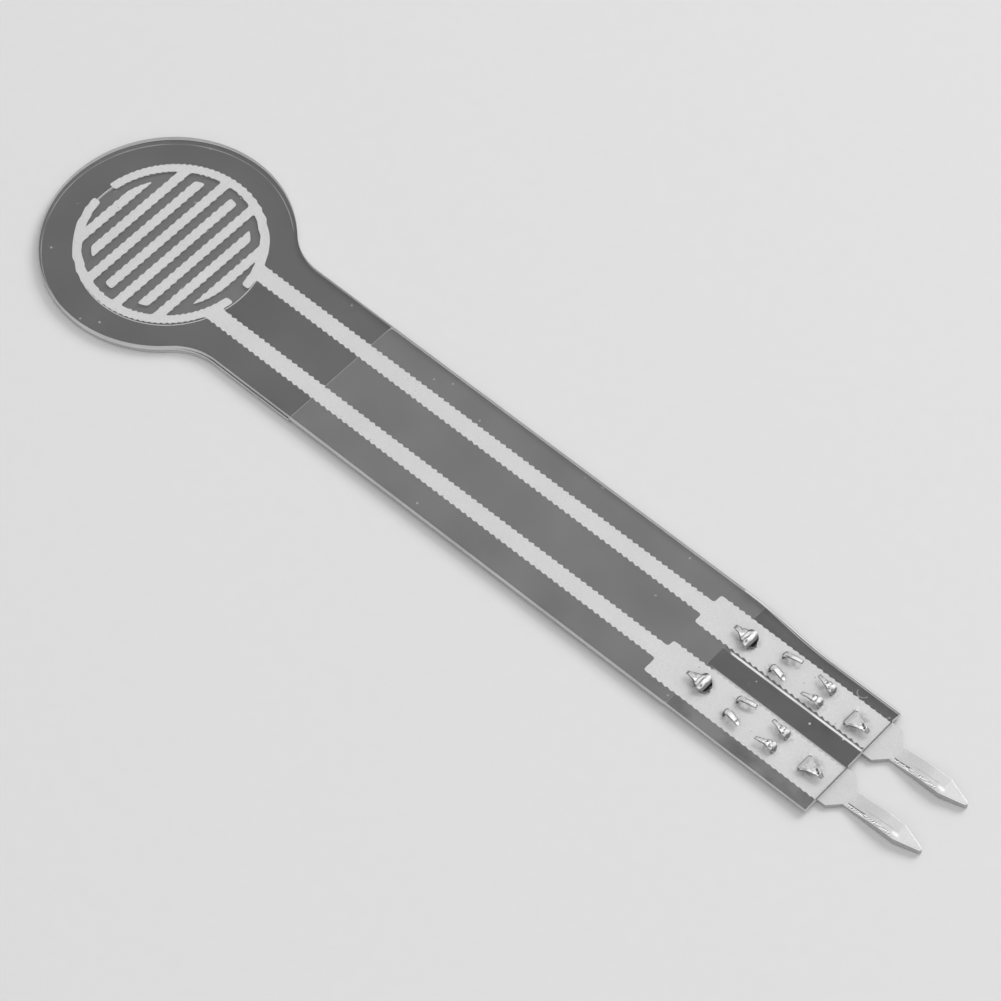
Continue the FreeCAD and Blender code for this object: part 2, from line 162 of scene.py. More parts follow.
def toothed(outline: np.ndarray, depth: float) -> np.ndarray:
    """Gives an outline the small teeth that a printing screen leaves along an edge.

    Each point moves along its outward normal by a saw-tooth wave of its distance across the
    screen's threads, which run askew. The wave is flatter where the edge is curved, and on edges
    that run across the tail.

    Args:
        outline: Evenly spaced points, anticlockwise.
        depth: Full height of a tooth.

    Returns:
        The outline with teeth.
    """
    ahead = np.roll(outline, -2, axis=0) - np.roll(outline, 2, axis=0)
    normal = np.stack([ahead[:, 1], -ahead[:, 0]], axis=1)
    normal /= np.linalg.norm(normal, axis=1, keepdims=True)
    steps = np.linalg.norm(outline - np.roll(outline, 1, axis=0), axis=1)
    threads = outline @ SCREEN_DIRECTION / SCREEN_PITCH
    phase = threads % 1.0
    wave = np.minimum(phase / TOOTH_RISE, (1.0 - phase) / (1.0 - TOOTH_RISE)) - 0.5
    uneven = 0.85 + 0.15 * np.sin(threads * 1.7) * np.sin(threads * 0.53 + 1.0)
    turn = normal[:, 0] * np.roll(normal[:, 1], -1) - normal[:, 1] * np.roll(normal[:, 0], -1)
    calm = 1.0 / (1.0 + np.abs(turn / steps / 0.7) ** 1.5)
    calm = np.min([np.roll(calm, offset) for offset in range(-6, 7)], axis=0)
    turned = 0.7 + 0.3 * normal[:, 1] ** 2
    return outline + normal * (wave * uneven * calm * turned * depth)[:, None]


def cut_off(outline: np.ndarray, end: float) -> np.ndarray:
    """Cuts a closed outline off along a line across it, where it runs past the end.

    Args:
        outline: Points of the closed outline, which passes the end once.
        end: Where the outline is cut.

    Returns:
        The outline without the points past the end, with a straight closing edge there.
    """
    first = int(np.argmax(outline[:, 0]))
    turned = np.roll(outline, -first, axis=0)
    kept = turned[turned[:, 0] < end - 0.004].copy()
    kept[[0, -1], 0] = end
    return kept


def inside(points: np.ndarray, outline: np.ndarray) -> np.ndarray:
    """Tells which points lie in a closed outline: a ray from each crosses it an odd number of times.

    Args:
        points: The points to test.
        outline: Corners of the closed outline.

    Returns:
        One truth value for each point.
    """
    first, second = outline, np.roll(outline, -1, axis=0)
    rise = np.where(second[:, 1] == first[:, 1], 1e-12, second[:, 1] - first[:, 1])
    result = [np.zeros(0, dtype=bool)]
    for start in range(0, len(points), 2000):
        x, y = (points[start:start + 2000, axis, None] for axis in (0, 1))
        spans = (first[:, 1] > y) != (second[:, 1] > y)
        crossing = first[:, 0] + (y - first[:, 1]) / rise * (second[:, 0] - first[:, 0])
        result.append(np.sum(spans & (x < crossing), axis=1) % 2 == 1)
    return np.concatenate(result)


def in_plate(points: np.ndarray, outline: np.ndarray, holes: Sequence[np.ndarray]) -> np.ndarray:
    """Tells which points lie in a closed outline and in none of its holes.

    Args:
        points: The points to test.
        outline: Corners of the closed outline.
        holes: Outlines of its holes.

    Returns:
        One truth value for each point.
    """
    kept = inside(points, outline)
    for hole in holes:
        kept &= ~inside(points, hole)
    return kept


# Meshes
@dataclass
class Shape:
    """Vertices and faces of one closed surface, in millimetres, with a mark for each vertex.

    The mark is read by the finish: painted shade in creases and painted highlights on metal, the underside on
    film.
    """

    vertices: np.ndarray
    faces: list[tuple[int, ...]]
    marks: np.ndarray | None = None

    def marked(self) -> np.ndarray:
        """Returns the marks, zero where none were set."""
        return np.zeros(len(self.vertices)) if self.marks is None else self.marks

    def joined(self, *others: "Shape") -> "Shape":
        """Puts several closed surfaces in one mesh.

        Args:
            others: The surfaces to add.

        Returns:
            One shape with all of them.
        """
        vertices, faces, marks = [self.vertices], list(self.faces), [self.marked()]
        count = len(self.vertices)
        for other in others:
            faces += [tuple(index + count for index in face) for face in other.faces]
            vertices.append(other.vertices)
            marks.append(other.marked())
            count += len(other.vertices)
        return Shape(np.vstack(vertices), faces, np.concatenate(marks))

    def to_object(self, name: str, bevel: float = 0.0) -> bpy.types.Object:
        """Makes the Blender object, with its place in its mesh.

        Args:
            name: The piece's name.
            bevel: Width of the rounded edges in millimetres, or nothing.

        Returns:
            The new object.
        """
        mesh = bpy.data.meshes.new(name)
        mesh.from_pydata((self.vertices * MM).tolist(), [], self.faces)
        if self.marks is not None:
            marks = mesh.attributes.new("mark", "FLOAT", "POINT")
            marks.data.foreach_set("value", self.marks.astype(np.float32))
        mesh.validate()
        mesh.polygons.foreach_set("use_smooth", np.ones(len(mesh.polygons), dtype=bool))
        mesh.set_sharp_from_angle(angle=math.radians(SHARP_ANGLE))
        piece = bpy.data.objects.new(name, mesh)
        bpy.context.collection.objects.link(piece)
        if bevel:
            rounding = piece.modifiers.new("edges", "BEVEL")
            rounding.width = bevel * MM
            rounding.segments = 2
            rounding.limit_method = "ANGLE"
            rounding.angle_limit = math.radians(BEVEL_ANGLE)
            rounding.harden_normals = True
        return piece


def slab(outline: np.ndarray, low: float, high: float, holes: Sequence[np.ndarray] = (),
         grid: np.ndarray = NO_POINTS) -> Shape:
    """Makes a closed plate: the outline without its holes, in triangles, from one height to another.

    Args:
        outline: Anticlockwise outer outline.
        low: Height of the underside.
        high: Height of the upper side.
        holes: Outlines of the holes.
        grid: Extra inner points, so that the plate can bend between its edges.

    Returns:
        The closed plate.
    """
    loops = [outline] + [hole if signed_area(hole) < 0 else hole[::-1] for hole in holes]
    starts = np.cumsum([0] + [len(loop) for loop in loops])
    flat = np.vstack([*loops, grid[in_plate(grid, outline, holes)]])
    edges = []
    for loop, start in zip(loops, starts):
        edges += [(start + i, start + (i + 1) % len(loop)) for i in range(len(loop))]
    points = [Vector(point) for point in flat]
    found, _, triangles, origins, _, _ = delaunay_2d_cdt(points, edges, [], 0, 1e-7)
    if len(found) != len(flat):
        raise ValueError(f"The outline crosses itself: {len(flat)} points became {len(found)}")
    order = np.array([origin[0] for origin in origins])
    triangles = order[np.array([triangle[:] for triangle in triangles])]
    triangles = triangles[in_plate(flat[triangles].mean(axis=1), outline, holes)]
    a, b, c = (flat[triangles[:, k]] for k in range(3))
    turn = (b[:, 0] - a[:, 0]) * (c[:, 1] - a[:, 1]) - (b[:, 1] - a[:, 1]) * (c[:, 0] - a[:, 0])
    triangles[turn < 0] = triangles[turn < 0][:, ::-1]
    count = len(flat)
    top = np.column_stack([flat, np.full(count, high)])
    bottom = np.column_stack([flat, np.full(count, low)])
    faces = [tuple(int(i) for i in triangle) for triangle in triangles]
    faces += [tuple(int(i) + count for i in triangle[::-1]) for triangle in triangles]
    faces += [(int(i) + count, int(j) + count, int(j), int(i)) for i, j in edges]
    return Shape(np.vstack([top, bottom]), faces)


def signed_area(outline: np.ndarray) -> float:
    """Returns the area inside an outline, positive when it runs anticlockwise."""
    x, y = outline[:, 0], outline[:, 1]
    return float(np.sum(x * np.roll(y, -1) - y * np.roll(x, -1)) / 2.0)


def two_sided(top: np.ndarray, bottom: np.ndarray, marks: np.ndarray, below: float = 1.0) -> Shape:
    """Closes a thin body between an upper and a lower grid of points.

    Args:
        top: Upper points, as rows and columns of places.
        bottom: Lower points in the same order.
        marks: Mark of each row and column.
        below: Share of the marks that the lower side has too.

    Returns:
        The closed body, with its faces outwards.
    """
    rows, columns = top.shape[:2]
    index = np.arange(rows * columns).reshape(rows, columns)
    corners = [index[:-1, :-1], index[1:, :-1], index[1:, 1:], index[:-1, 1:]]
    upper = np.stack(corners, axis=-1).reshape(-1, 4)
    lower = upper[:, ::-1] + rows * columns
    border = np.concatenate([index[0, :-1], index[:-1, -1], index[-1, :0:-1], index[:0:-1, 0]])
    after = np.roll(border, -1)
    walls = np.stack([border, after, after + rows * columns, border + rows * columns], axis=-1)
    faces = [tuple(face) for face in np.vstack([upper, lower, walls]).tolist()]
    both = np.concatenate([marks.ravel(), marks.ravel() * below])
    shape = Shape(np.vstack([top.reshape(-1, 3), bottom.reshape(-1, 3)]), faces, both)
    return shape if volume(shape) > 0 else Shape(shape.vertices, [face[::-1] for face in faces], both)


def drawn(stations: np.ndarray, count: int, reach: int) -> np.ndarray:
    """Draws a smooth line through stations: even steps between them, then a bell-weighted mean.

    Args:
        stations: One row of values for each station; the first two are its place.
        count: Number of points wanted.
        reach: How many neighbours on each side take part in the mean.

    Returns:
        The line, one row of values for each point.
    """
    length = np.concatenate([[0.0], np.cumsum(np.linalg.norm(np.diff(stations[:, :2], axis=0), axis=1))])
    at = np.linspace(0.0, length[-1], count)
    line = np.stack([np.interp(at, length, column) for column in stations.T], axis=1)
    weights = bell_weights(reach, reach / 2.0)
    padded = np.vstack([np.repeat(line[:1], reach, axis=0), line, np.repeat(line[-1:], reach, axis=0)])
    return np.stack([np.convolve(column, weights, mode="valid") for column in padded.T], axis=1)


def volume(shape: Shape) -> float:
    """Reckons the volume in a closed surface, positive when its faces point outwards.

    Args:
        shape: The closed surface.

    Returns:
        The volume in cubic millimetres.
    """
    total = 0.0
    for size in {len(face) for face in shape.faces}:
        group = np.array([face for face in shape.faces if len(face) == size])
        first = shape.vertices[group[:, 0]]
        for k in range(1, size - 1):
            second, third = shape.vertices[group[:, k]], shape.vertices[group[:, k + 1]]
            total += float(np.sum(first * np.cross(second, third))) / 6.0
    return total


def grid_points(low: tuple[float, float], high: tuple[float, float], step: float) -> np.ndarray:
    """Returns the points of an even grid over a rectangle."""
    x, y = np.meshgrid(np.arange(low[0], high[0], step), np.arange(low[1], high[1], step))
    return np.stack([x.ravel(), y.ravel()], axis=1)


def eased(value: np.ndarray) -> np.ndarray:
    """Returns a smooth step from 0 to 1 while the value runs from 0 to 1."""
    held = np.clip(value, 0.0, 1.0)
    return held * held * (3.0 - 2.0 * held)


# Node trees
class Value:
    """A number that varies over a surface: an output socket that can be reckoned with."""

    def __init__(self, tree: "Tree", socket: bpy.types.NodeSocket) -> None:
        """Keeps the socket and the tree that it is in."""
        self.tree = tree
        self.socket = socket

    def step(self, operation: str, second: "Value | float" = 0.0, clamp: bool = False) -> "Value":
        """Takes one arithmetic step.

        Args:
            operation: Blender's name of the operation.
            second: The other number.
            clamp: Whether the result is held between 0 and 1.

        Returns:
            The result.
        """
        return self.tree.value("Math", 0, {"operation": operation, "use_clamp": clamp}, i0=self, i1=second)

    # Signs for the steps. On masks, * keeps what both have and | keeps what either has.
    __add__ = partialmethod(step, "ADD")
    __sub__ = partialmethod(step, "SUBTRACT")
    __mul__ = partialmethod(step, "MULTIPLY")
    __truediv__ = partialmethod(step, "DIVIDE")
    __gt__ = partialmethod(step, "GREATER_THAN")
    __lt__ = partialmethod(step, "LESS_THAN")
    __or__ = partialmethod(step, "MAXIMUM")
    __abs__ = partialmethod(step, "ABSOLUTE")

    def __rsub__(self, first: float) -> "Value":
        """Returns a plain number less this one."""
        return self.tree.value("Math", 0, {"operation": "SUBTRACT"}, i0=first, i1=self)

    def ramp(self, low: float, high: float, to_low: "Value | float", to_high: float) -> "Value":
        """Maps the number smoothly from one range to another.

        Args:
            low: Start of the range read.
            high: End of the range read.
            to_low: Result at the start.
            to_high: Result at the end.

        Returns:
            The result.
        """
        settings = {"interpolation_type": "SMOOTHSTEP"}
        return self.tree.value("MapRange", 0, settings, i0=self, i1=low, i2=high, i3=to_low, i4=to_high)


Tone = bpy.types.NodeSocket | tuple[float, ...]


class Tree:
    """Short calls for building one node tree."""

    def __init__(self, tree: bpy.types.NodeTree) -> None:
        """Keeps the tree and empties it."""
        self.tree = tree
        tree.nodes.clear()

    def add(self, kind: str, settings: dict[str, object] | None = None, **inputs: object) -> bpy.types.Node:
        """Adds a node.

        Args:
            kind: Blender's name of the node type, without its common prefix.
            settings: Properties to set on the node.
            inputs: Values or sockets for its inputs, with underscores for spaces, or i and a number.

        Returns:
            The node.
        """
        node = self.tree.nodes.new(f"ShaderNode{kind}")
        for name, setting in (settings or {}).items():
            setattr(node, name, setting)
        for name, given in inputs.items():
            key = int(name[1:]) if name[0] == "i" and name[1:].isdigit() else name.replace("_", " ")
            self.feed(node.inputs[key], given)
        return node

    def feed(self, socket: bpy.types.NodeSocket, given: object) -> None:
        """Links an input to a value or a socket, or sets it to a plain value.

        Args:
            socket: The input.
            given: What it gets.
        """
        given = given.socket if isinstance(given, Value) else given
        if isinstance(given, bpy.types.NodeSocket):
            self.tree.links.new(given, socket)
        else:
            socket.default_value = given

    def value(self, kind: str, output: str | int, settings: dict[str, object] | None = None,
              **inputs: object) -> Value:
        """Adds a node and returns one of its outputs as a number to reckon with."""
        return Value(self, self.add(kind, settings, **inputs).outputs[output])

    def mix(self, share: Value, first: Tone, second: Tone) -> bpy.types.NodeSocket:
        """Blends two colours.

        Args:
            share: Share of the second colour.
            first: First colour.
            second: Second colour.

        Returns:
            The result's socket.
        """
        return self.add("Mix", {"data_type": "RGBA"}, i0=share, i6=first, i7=second).outputs[2]

    def noise(self, place: object, scale: Value | float, detail: float) -> Value:
        """Returns a noise around 0.5, with so many cells to a metre."""
        return self.value("TexNoise", "Fac", None, Vector=place, Scale=scale, Detail=detail)

    def scaled(self, vector: object, factor: Value | float) -> bpy.types.NodeSocket:
        """Returns a colour or a place times a factor."""
        return self.add("VectorMath", {"operation": "SCALE"}, i0=vector, Scale=factor).outputs[0]

    def axes(self, place: object) -> tuple[Value, ...]:
        """Returns a place's three coordinates in millimetres."""
        parts = self.add("SeparateXYZ", None, Vector=self.scaled(place, 1.0 / MM))
        return tuple(Value(self, part) for part in parts.outputs)

    def mark(self) -> Value:
        """Returns the mesh's own marks."""
        return self.value("Attribute", "Fac", {"attribute_name": "mark"})


def away(x: Value, y: Value, at_x: float, at_y: float) -> Value:
    """Returns how far a place is from a point, by the root of the summed squares."""
    along, across = x - at_x, y - at_y
    return (along * along + across * across).step("SQRT")


def grey(level: float) -> tuple[float, float, float, float]:
    """Returns a grey as a colour."""
    return (level, level, level, 1.0)


class Group(Tree):
    """A node group that several finishes share."""

    def __init__(self, name: str, inputs: dict[str, float], outputs: tuple[str, ...]) -> None:
        """Makes the group, with a vector input besides its number inputs.

        Args:
            name: The group's name.
            inputs: Names of its number inputs, with their defaults.
            outputs: Names of its number outputs.
        """
        super().__init__(bpy.data.node_groups.new(name, "ShaderNodeTree"))
        sockets = self.tree.interface
        sockets.new_socket("Vector", in_out="INPUT", socket_type="NodeSocketVector")
        for label, level in inputs.items():
            sockets.new_socket(label, in_out="INPUT", socket_type="NodeSocketFloat").default_value = level
        for label in outputs:
            sockets.new_socket(label, in_out="OUTPUT", socket_type="NodeSocketFloat")
        self.source = self.tree.nodes.new("NodeGroupInput")
        self.sink = self.tree.nodes.new("NodeGroupOutput")

    def given(self, label: str) -> Value:
        """Returns one of the group's inputs."""
        return Value(self, self.source.outputs[label])

    def give(self, label: str, result: Value) -> None:
        """Links a result to one of the group's outputs."""
        self.feed(self.sink.inputs[label], result)


def mottle_group() -> Group:
    """Builds the shared mottling: a broad cloud and a fine grain, as one factor near 1.

    Returns:
        The node group.
    """
    inputs = {"Cloud Scale": 400.0, "Grain Scale": 9000.0, "Cloud Amount": 0.1, "Grain Amount": 0.05}
    group = Group("mottle", inputs, ("Factor", "Grain"))
    place = group.given("Vector")
    cloud = group.noise(place, group.given("Cloud Scale"), 3.0)
    grain = group.noise(place, group.given("Grain Scale"), 2.0)
    clouded = (cloud - 0.5) * 2.0 * group.given("Cloud Amount")
    grained = (grain - 0.5) * 2.0 * group.given("Grain Amount")
    group.give("Factor", clouded + grained + 1.0)
    group.give("Grain", grain)
    return group


def cut_group() -> Group:
    """Builds the shared masks of cut edges: upright faces, and the narrow rounds beside them.

    Returns:
        The node group.
    """
    group = Group("cut_edge", {}, ("Mask", "Rim"))
    upright = abs(group.value("SeparateXYZ", "Z", None, Vector=group.add("NewGeometry").outputs["Normal"]))
    group.give("Mask", upright.ramp(0.6, 0.95, 1.0, 0.0))
    group.give("Rim", upright.ramp(0.2, 0.45, 0.0, 1.0) * upright.ramp(0.8, 0.96, 1.0, 0.0))
    return group


def dust_group() -> Group:
    """Builds the shared dust: small specks at the middles of a few random cells.

    Returns:
        The node group.
    """
    group = Group("dust", {"Cell Scale": 1500.0, "Speck Size": 0.07, "Share": 0.25}, ("Mask",))
    cells = group.add("TexVoronoi", None, Vector=group.given("Vector"), Scale=group.given("Cell Scale"))
    chance = group.value("SeparateColor", "Red", None, Color=cells.outputs["Color"])
    close = Value(group, cells.outputs["Distance"]) < group.given("Speck Size")
    group.give("Mask", close * (chance < group.given("Share")))
    return group


def claw_group(centre: float, middle: float) -> Group:
    """Builds the shared masks of the claws' surroundings: 1 at a claw, 0 away from it.

    The place is folded about the middle of the claw rows and the middle of each pad, so that
    two ellipses, an outer and an inner one, stand for all claws. The second mask leaves out the
    broad claws at the film's end, whose slots are tight.

    Args:
        centre: Middle of the claw rows along the tail.
        middle: Middle of a pad across the tail.

    Returns:
        The node group.
    """
    group = Group("claw_surroundings", {}, ("Near", "Torn"))
    x, y, _ = group.axes(group.given("Vector"))
    along, across = abs(x - centre), abs(abs(y) - middle)
    masks = []
    for at_x, at_y, half_x, half_y in ((2.62, 0.0, 0.55, 0.5), (0.95, 0.38, 0.5, 0.3)):
        off = away(along / half_x, across / half_y, at_x / half_x, at_y / half_y)
        masks.append(off.ramp(0.6, 1.15, 1.0, 0.0))
    near = masks[0] | masks[1]
    group.give("Near", near)
    group.give("Torn", near * (x < centre + 1.9))
    return group


class Groups:
    """The shared node groups, each built once."""

    def __init__(self, claw_centre: float, claw_middle: float) -> None:
        """Builds every group.

        Args:
            claw_centre: Middle of the claw rows along the tail.
            claw_middle: Middle of a pad across the tail.
        """
        self.mottle = mottle_group()
        self.cut = cut_group()
        self.dust = dust_group()
        self.claws = claw_group(claw_centre, claw_middle)

    def use(self, tree: Tree, group: Group, place: bpy.types.NodeSocket,
            **amounts: float) -> dict[str, Value]:
        """Places a group in a material.

        Args:
            tree: The material's tree.
            group: The group to place.
            place: Coordinates that it reads.
            amounts: Its number inputs, with underscores for spaces.

        Returns:
            Its outputs by name.
        """
        node = tree.add("Group", {"node_tree": group.tree}, Vector=place, **amounts)
        return {socket.name: Value(tree, socket) for socket in node.outputs}


# Finishes
@dataclass
class Look:
    """What a finish draws: its tone, and its haze and relief where it has its own."""

    tone: Tone
    haze: Value | float | None = None
    relief: Value | None = None


@dataclass(frozen=True)
class Finish:
    """What all finishes share: a mottled tone, an uneven sheen and a fine bump.

    Each kind of finish has its own mottling (cloud scale and amount, grain scale and amount),
    how far its roughness goes down and up, the strength of its bump, and fixed shader inputs.
    """

    name: str
    level: float
    roughness: float

    mottling: ClassVar[tuple[float, float, float, float]] = (400.0, 0.1, 9000.0, 0.05)
    spread: ClassVar[tuple[float, float]] = (0.1, 0.1)
    bump: ClassVar[float] = 0.0
    fixed: ClassVar[dict[str, float]] = {}

    def look(self, tree: Tree, place: bpy.types.NodeSocket, groups: Groups) -> Look:
        """Returns the plain look, with one level all over before the mottling."""
        return Look(grey(self.level)[:3])

    def build(self, groups: Groups) -> bpy.types.Material:
        """Builds the material.

        Args:
            groups: The shared node groups.

        Returns:
            The material.
        """
        material = bpy.data.materials.new(self.name)
        material.use_nodes = True
        tree = Tree(material.node_tree)
        place = tree.add("TexCoord").outputs["Object"]
        labels = ("Cloud_Scale", "Cloud_Amount", "Grain_Scale", "Grain_Amount")
        mottle = groups.use(tree, groups.mottle, place, **dict(zip(labels, self.mottling)))
        look = self.look(tree, place, groups)
        tinted = tree.scaled(look.tone, mottle["Factor"])
        inputs = {"Base_Color": tinted, "Roughness": self.roughness, **self.fixed}
        if look.haze is not None:
            inputs["Alpha"] = look.haze
        if self.bump:
            relief = look.relief or mottle["Grain"]
            down, up = self.spread
            inputs["Roughness"] = relief.ramp(0.3, 0.7, self.roughness - down, self.roughness + up)
            bump = tree.add("Bump", None, Strength=self.bump, Distance=BUMP_HEIGHT * MM, Height=relief)
            inputs["Normal"] = bump.outputs[0]
        shader = tree.add("BsdfPrincipled", None, **inputs)
        tree.add("OutputMaterial", None, Surface=shader.outputs[0])
        return material


@dataclass(frozen=True)
class FilmFinish(Finish):
    """A translucent plastic layer: hazy inside, with painted light on its cut edges and a painted highlight
    on their narrow rounds.
    """

    haze: float
    edge_haze: float
    edge_level: float = 0.6

    mottling = (420.0, 0.22, 7000.0, 0.05)
    spread = (0.04, 0.05)
    bump = 0.04
    fixed = {"IOR": 1.5}

    def face(self, tree: Tree, place: bpy.types.NodeSocket, groups: Groups) -> tuple[Tone, Value | float]:
        """Returns the tone and the haze of the flat faces."""
        return grey(self.level), self.haze

    def edges(self, tree: Tree, place: bpy.types.NodeSocket, groups: Groups) -> tuple[Tone, Tone]:
        """Returns the painted light of the cut edges and the painted highlight on the narrow rounds along
        them.
        """
        return grey(self.edge_level), grey(0.85)

    def look(self, tree: Tree, place: bpy.types.NodeSocket, groups: Groups) -> Look:
        """Draws the faces, the painted light on the cut edges and their rounds, and dust.

        Args:
            tree: The material's tree.
            place: Object coordinates.
            groups: The shared node groups.

        Returns:
            The tone and the haze.
        """
        cut = groups.use(tree, groups.cut, place)
        dust = groups.use(tree, groups.dust, place)["Mask"]
        tone, haze = self.face(tree, place, groups)
        painted_edge_tone, painted_rim_tone = self.edges(tree, place, groups)
        # Painted light: the cut edges get a lighter tone and their narrow rounds a painted highlight.
        tone = tree.mix(cut["Rim"], tree.mix(cut["Mask"], tone, painted_edge_tone), painted_rim_tone)
        haze = cut["Mask"].ramp(0.0, 1.0, haze, self.edge_haze) | dust * 0.5
        return Look(tree.mix(dust, tone, grey(0.6)), haze)


@dataclass(frozen=True)
class TopFilmFinish(FilmFinish):
    """The clear top film: hazy where air lies behind it, with painted shade in the torn slots and painted
    highlights along its far edge.
    """

    zone_start: float = 28.2
    print_place: tuple[float, float] = (0.08, 0.07)
    half_width: float = 2.8
    zone_haze: float = 0.96
    zone_level: float = 0.062
    near_level: float = 0.16
    far_level: float = 0.055
    between_half: float = 0.415
    end_start: float = 34.7
    dark_patch_offset: float = 4.8
    drawn_in: float = 0.18
    specks: tuple[tuple[float, float], ...] = ((31.61, 1.61), (31.46, 1.17), (30.2, 1.75))
    scratch: tuple[float, float, float] = (33.33, 2.29, 0.22)

    def past_print(self, x: Value, y: Value, side: Side) -> Value:
        """Tells what lies past a pad's outer edge, with the same screen teeth as the print has.

        The edge moves out by a saw-tooth wave of its distance across the screen's threads.

        Args:
            x: Place along the tail.
            y: Place across it.
            side: Whose pad it is.

        Returns:
            The mask.
        """
        pad_edge = PAD_EDGES[side][1]
        along, across = SCREEN_DIRECTION / SCREEN_PITCH
        phase = ((x - self.print_place[0]) * along + side.value * pad_edge * across).step("FRACT")
        wave = (phase / TOOTH_RISE).step("MINIMUM", (1.0 - phase) / (1.0 - TOOTH_RISE)) - 0.5
        out = (y - self.print_place[1]) * float(side.value)
        return out > wave * (0.5 * TOOTH_DEPTH) + (pad_edge - 0.005)

    def open_zone(self, x: Value, y: Value) -> Value:
        """Masks the stretch of film that has air behind it, between and beside the two pads."""
        beside = self.past_print(x, y, Side.UPPER) | self.past_print(x, y, Side.LOWER)
        return (x > self.zone_start) * ((abs(y) < self.between_half) | beside)

    def far_edge_highlights(self, x: Value, y: Value) -> Value:
        """Masks the two painted highlights, thin bright lines, along the far edge, where the film turns down.

        Args:
            x: Place along the tail.
            y: Place across it.

        Returns:
            The mask.
        """
        start = self.zone_start
        inwards = self.half_width - (y + x.ramp(start - 0.7, start + 3.3, 0.0, self.drawn_in))
        outer = abs(inwards - 0.035).ramp(0.012, 0.03, 0.9, 0.0)
        inner = abs(inwards - x.ramp(start - 1.0, start + 2.0, 0.06, 0.13)).ramp(0.008, 0.022, 0.7, 0.0)
        return (x > start - 1.0) * (outer | inner)

    def flaws(self, x: Value, y: Value) -> tuple[Value, Value]:
        """Masks the film's small flaws: dark specks over a pad, and a curved scratch beside it.

        Args:
            x: Place along the tail.
            y: Place across it.

        Returns:
            The masks of the specks and of the scratch.
        """
        specks = [away(x, y, *spot).ramp(0.015, 0.04, 0.6, 0.0) for spot in self.specks]
        at_x, at_y, radius = self.scratch
        scratch = (y < at_y) * abs(away(x, y, at_x, at_y) - radius).ramp(0.005, 0.02, 0.5, 0.0)
        return reduce(or_, specks), scratch

    def face(self, tree: Tree, place: bpy.types.NodeSocket, groups: Groups) -> tuple[Tone, Value]:
        """Draws the flat faces: the underside is hazy beside the pads, the upper side has the flaws and the
        painted highlights along the far edge.

        Args:
            tree: The material's tree.
            place: Object coordinates.
            groups: The shared node groups; not used here.

        Returns:
            The tone and the haze.
        """
        x, y, _ = tree.axes(place)
        under = tree.mark() > 0.5
        zone = self.open_zone(x, y) * under
        cloud = tree.noise(place, 750.0, 4.0)
        near = tree.mix(cloud.ramp(0.36, 0.66, 0.0, 1.0), grey(self.near_level * 1.25),
                        grey(self.near_level * 0.6))
        behind = tree.mix(y > 1.0, grey(self.zone_level), grey(self.far_level))
        behind = tree.mix(y < -1.0, behind, near)
        dark_patch = abs(x - (self.zone_start + self.dark_patch_offset)).ramp(0.2, 0.9, 1.0, 0.0)
        dark_patch = dark_patch * cloud.ramp(0.35, 0.6, 0.0, 0.8) * (abs(y) < 1.0)
        behind = tree.mix(dark_patch, behind, grey(self.zone_level * 0.3))
        specks, scratch = self.flaws(x, y)
        specks = specks.step("SUBTRACT", under, clamp=True)
        # Painted highlights along the far edge, together with the real scratch, on the upper side only.
        highlights_and_scratch = (self.far_edge_highlights(x, y) | scratch).step("SUBTRACT", under, clamp=True)
        tone = tree.mix(highlights_and_scratch, tree.mix(zone, grey(self.level), behind), grey(0.95))
        return tree.mix(specks, tone, grey(0.2)), zone * self.zone_haze | self.haze | highlights_and_scratch | specks

    def edges(self, tree: Tree, place: bpy.types.NodeSocket, groups: Groups) -> tuple[Tone, Tone]:
        """Paints shade on the edges in the claws' slots, and at the film's end over the blades.

        Args:
            tree: The material's tree.
            place: Object coordinates.
            groups: The shared node groups.

        Returns:
            The painted shade and highlights of the cut edges and of the narrow rounds along them.
        """
        x, y, _ = tree.axes(place)
        torn = groups.use(tree, groups.claws, place)["Torn"]
        # Painted shade: dark edges in the slots and on the film's end wall over the blades; elsewhere the
        # rounds get a painted highlight.
        painted_shade = torn | (x > self.end_start) * (1.0 - self.open_zone(x, y))
        return tree.mix(painted_shade, grey(self.edge_level), grey(0.04)), tree.mix(painted_shade, grey(0.9), grey(0.1))


@dataclass(frozen=True)
class SpacerFinish(FilmFinish):
    """The spacer: a painted highlight along its round opening, painted light along the head's edge, and
    painted shade in a strip between the traces.
    """

    opening: tuple[float, float] = (0.0, 0.0)
    opening_radius: float = 3.85
    strip_half: float = 0.92
    strip_start: float = 3.0
    band: tuple[float, float] = (0.06, -0.09)
    band_radius: float = 4.88
    head_end: float = 3.3

    def face(self, tree: Tree, place: bpy.types.NodeSocket, groups: Groups) -> tuple[Tone, float]:
        """Draws the flat faces, with painted light along the head's edge, a painted highlight along the
        opening and painted shade between the traces.

        Args:
            tree: The material's tree.
            place: Object coordinates.
            groups: The shared node groups; not used here.

        Returns:
            The tone and the haze.
        """
        x, y, _ = tree.axes(place)
        cloud = tree.noise(place, 700.0, 2.0)
        # Painted highlight along the opening's cut edge, and a thin uneven painted highlight along the head's
        # edge.
        line = abs(away(x, y, *self.opening) - (self.opening_radius + 0.02)).ramp(0.01, 0.026, 1.0, 0.0)
        out = away(x, y, *self.band) - self.band_radius
        head = x < self.head_end
        line = line | head * abs(out).ramp(0.006, 0.022, 1.0, 0.0) * cloud.ramp(0.35, 0.65, 0.1, 0.6)
        # Painted shade in a strip between the traces, fading towards the tail.
        strip = (abs(y) < self.strip_half) * (x > self.strip_start) * x.ramp(3.5, 6.5, 1.0, 0.0)
        tone = tree.mix(strip, grey(self.level), grey(self.level * 0.25))
        # Painted light: a lighter band outside the head's edge line.
        tone = tree.mix(head * (out > 0.0) * 0.4, tone, grey(self.level * 2.6))
        return tree.mix(line, tone, grey(0.75)), self.haze


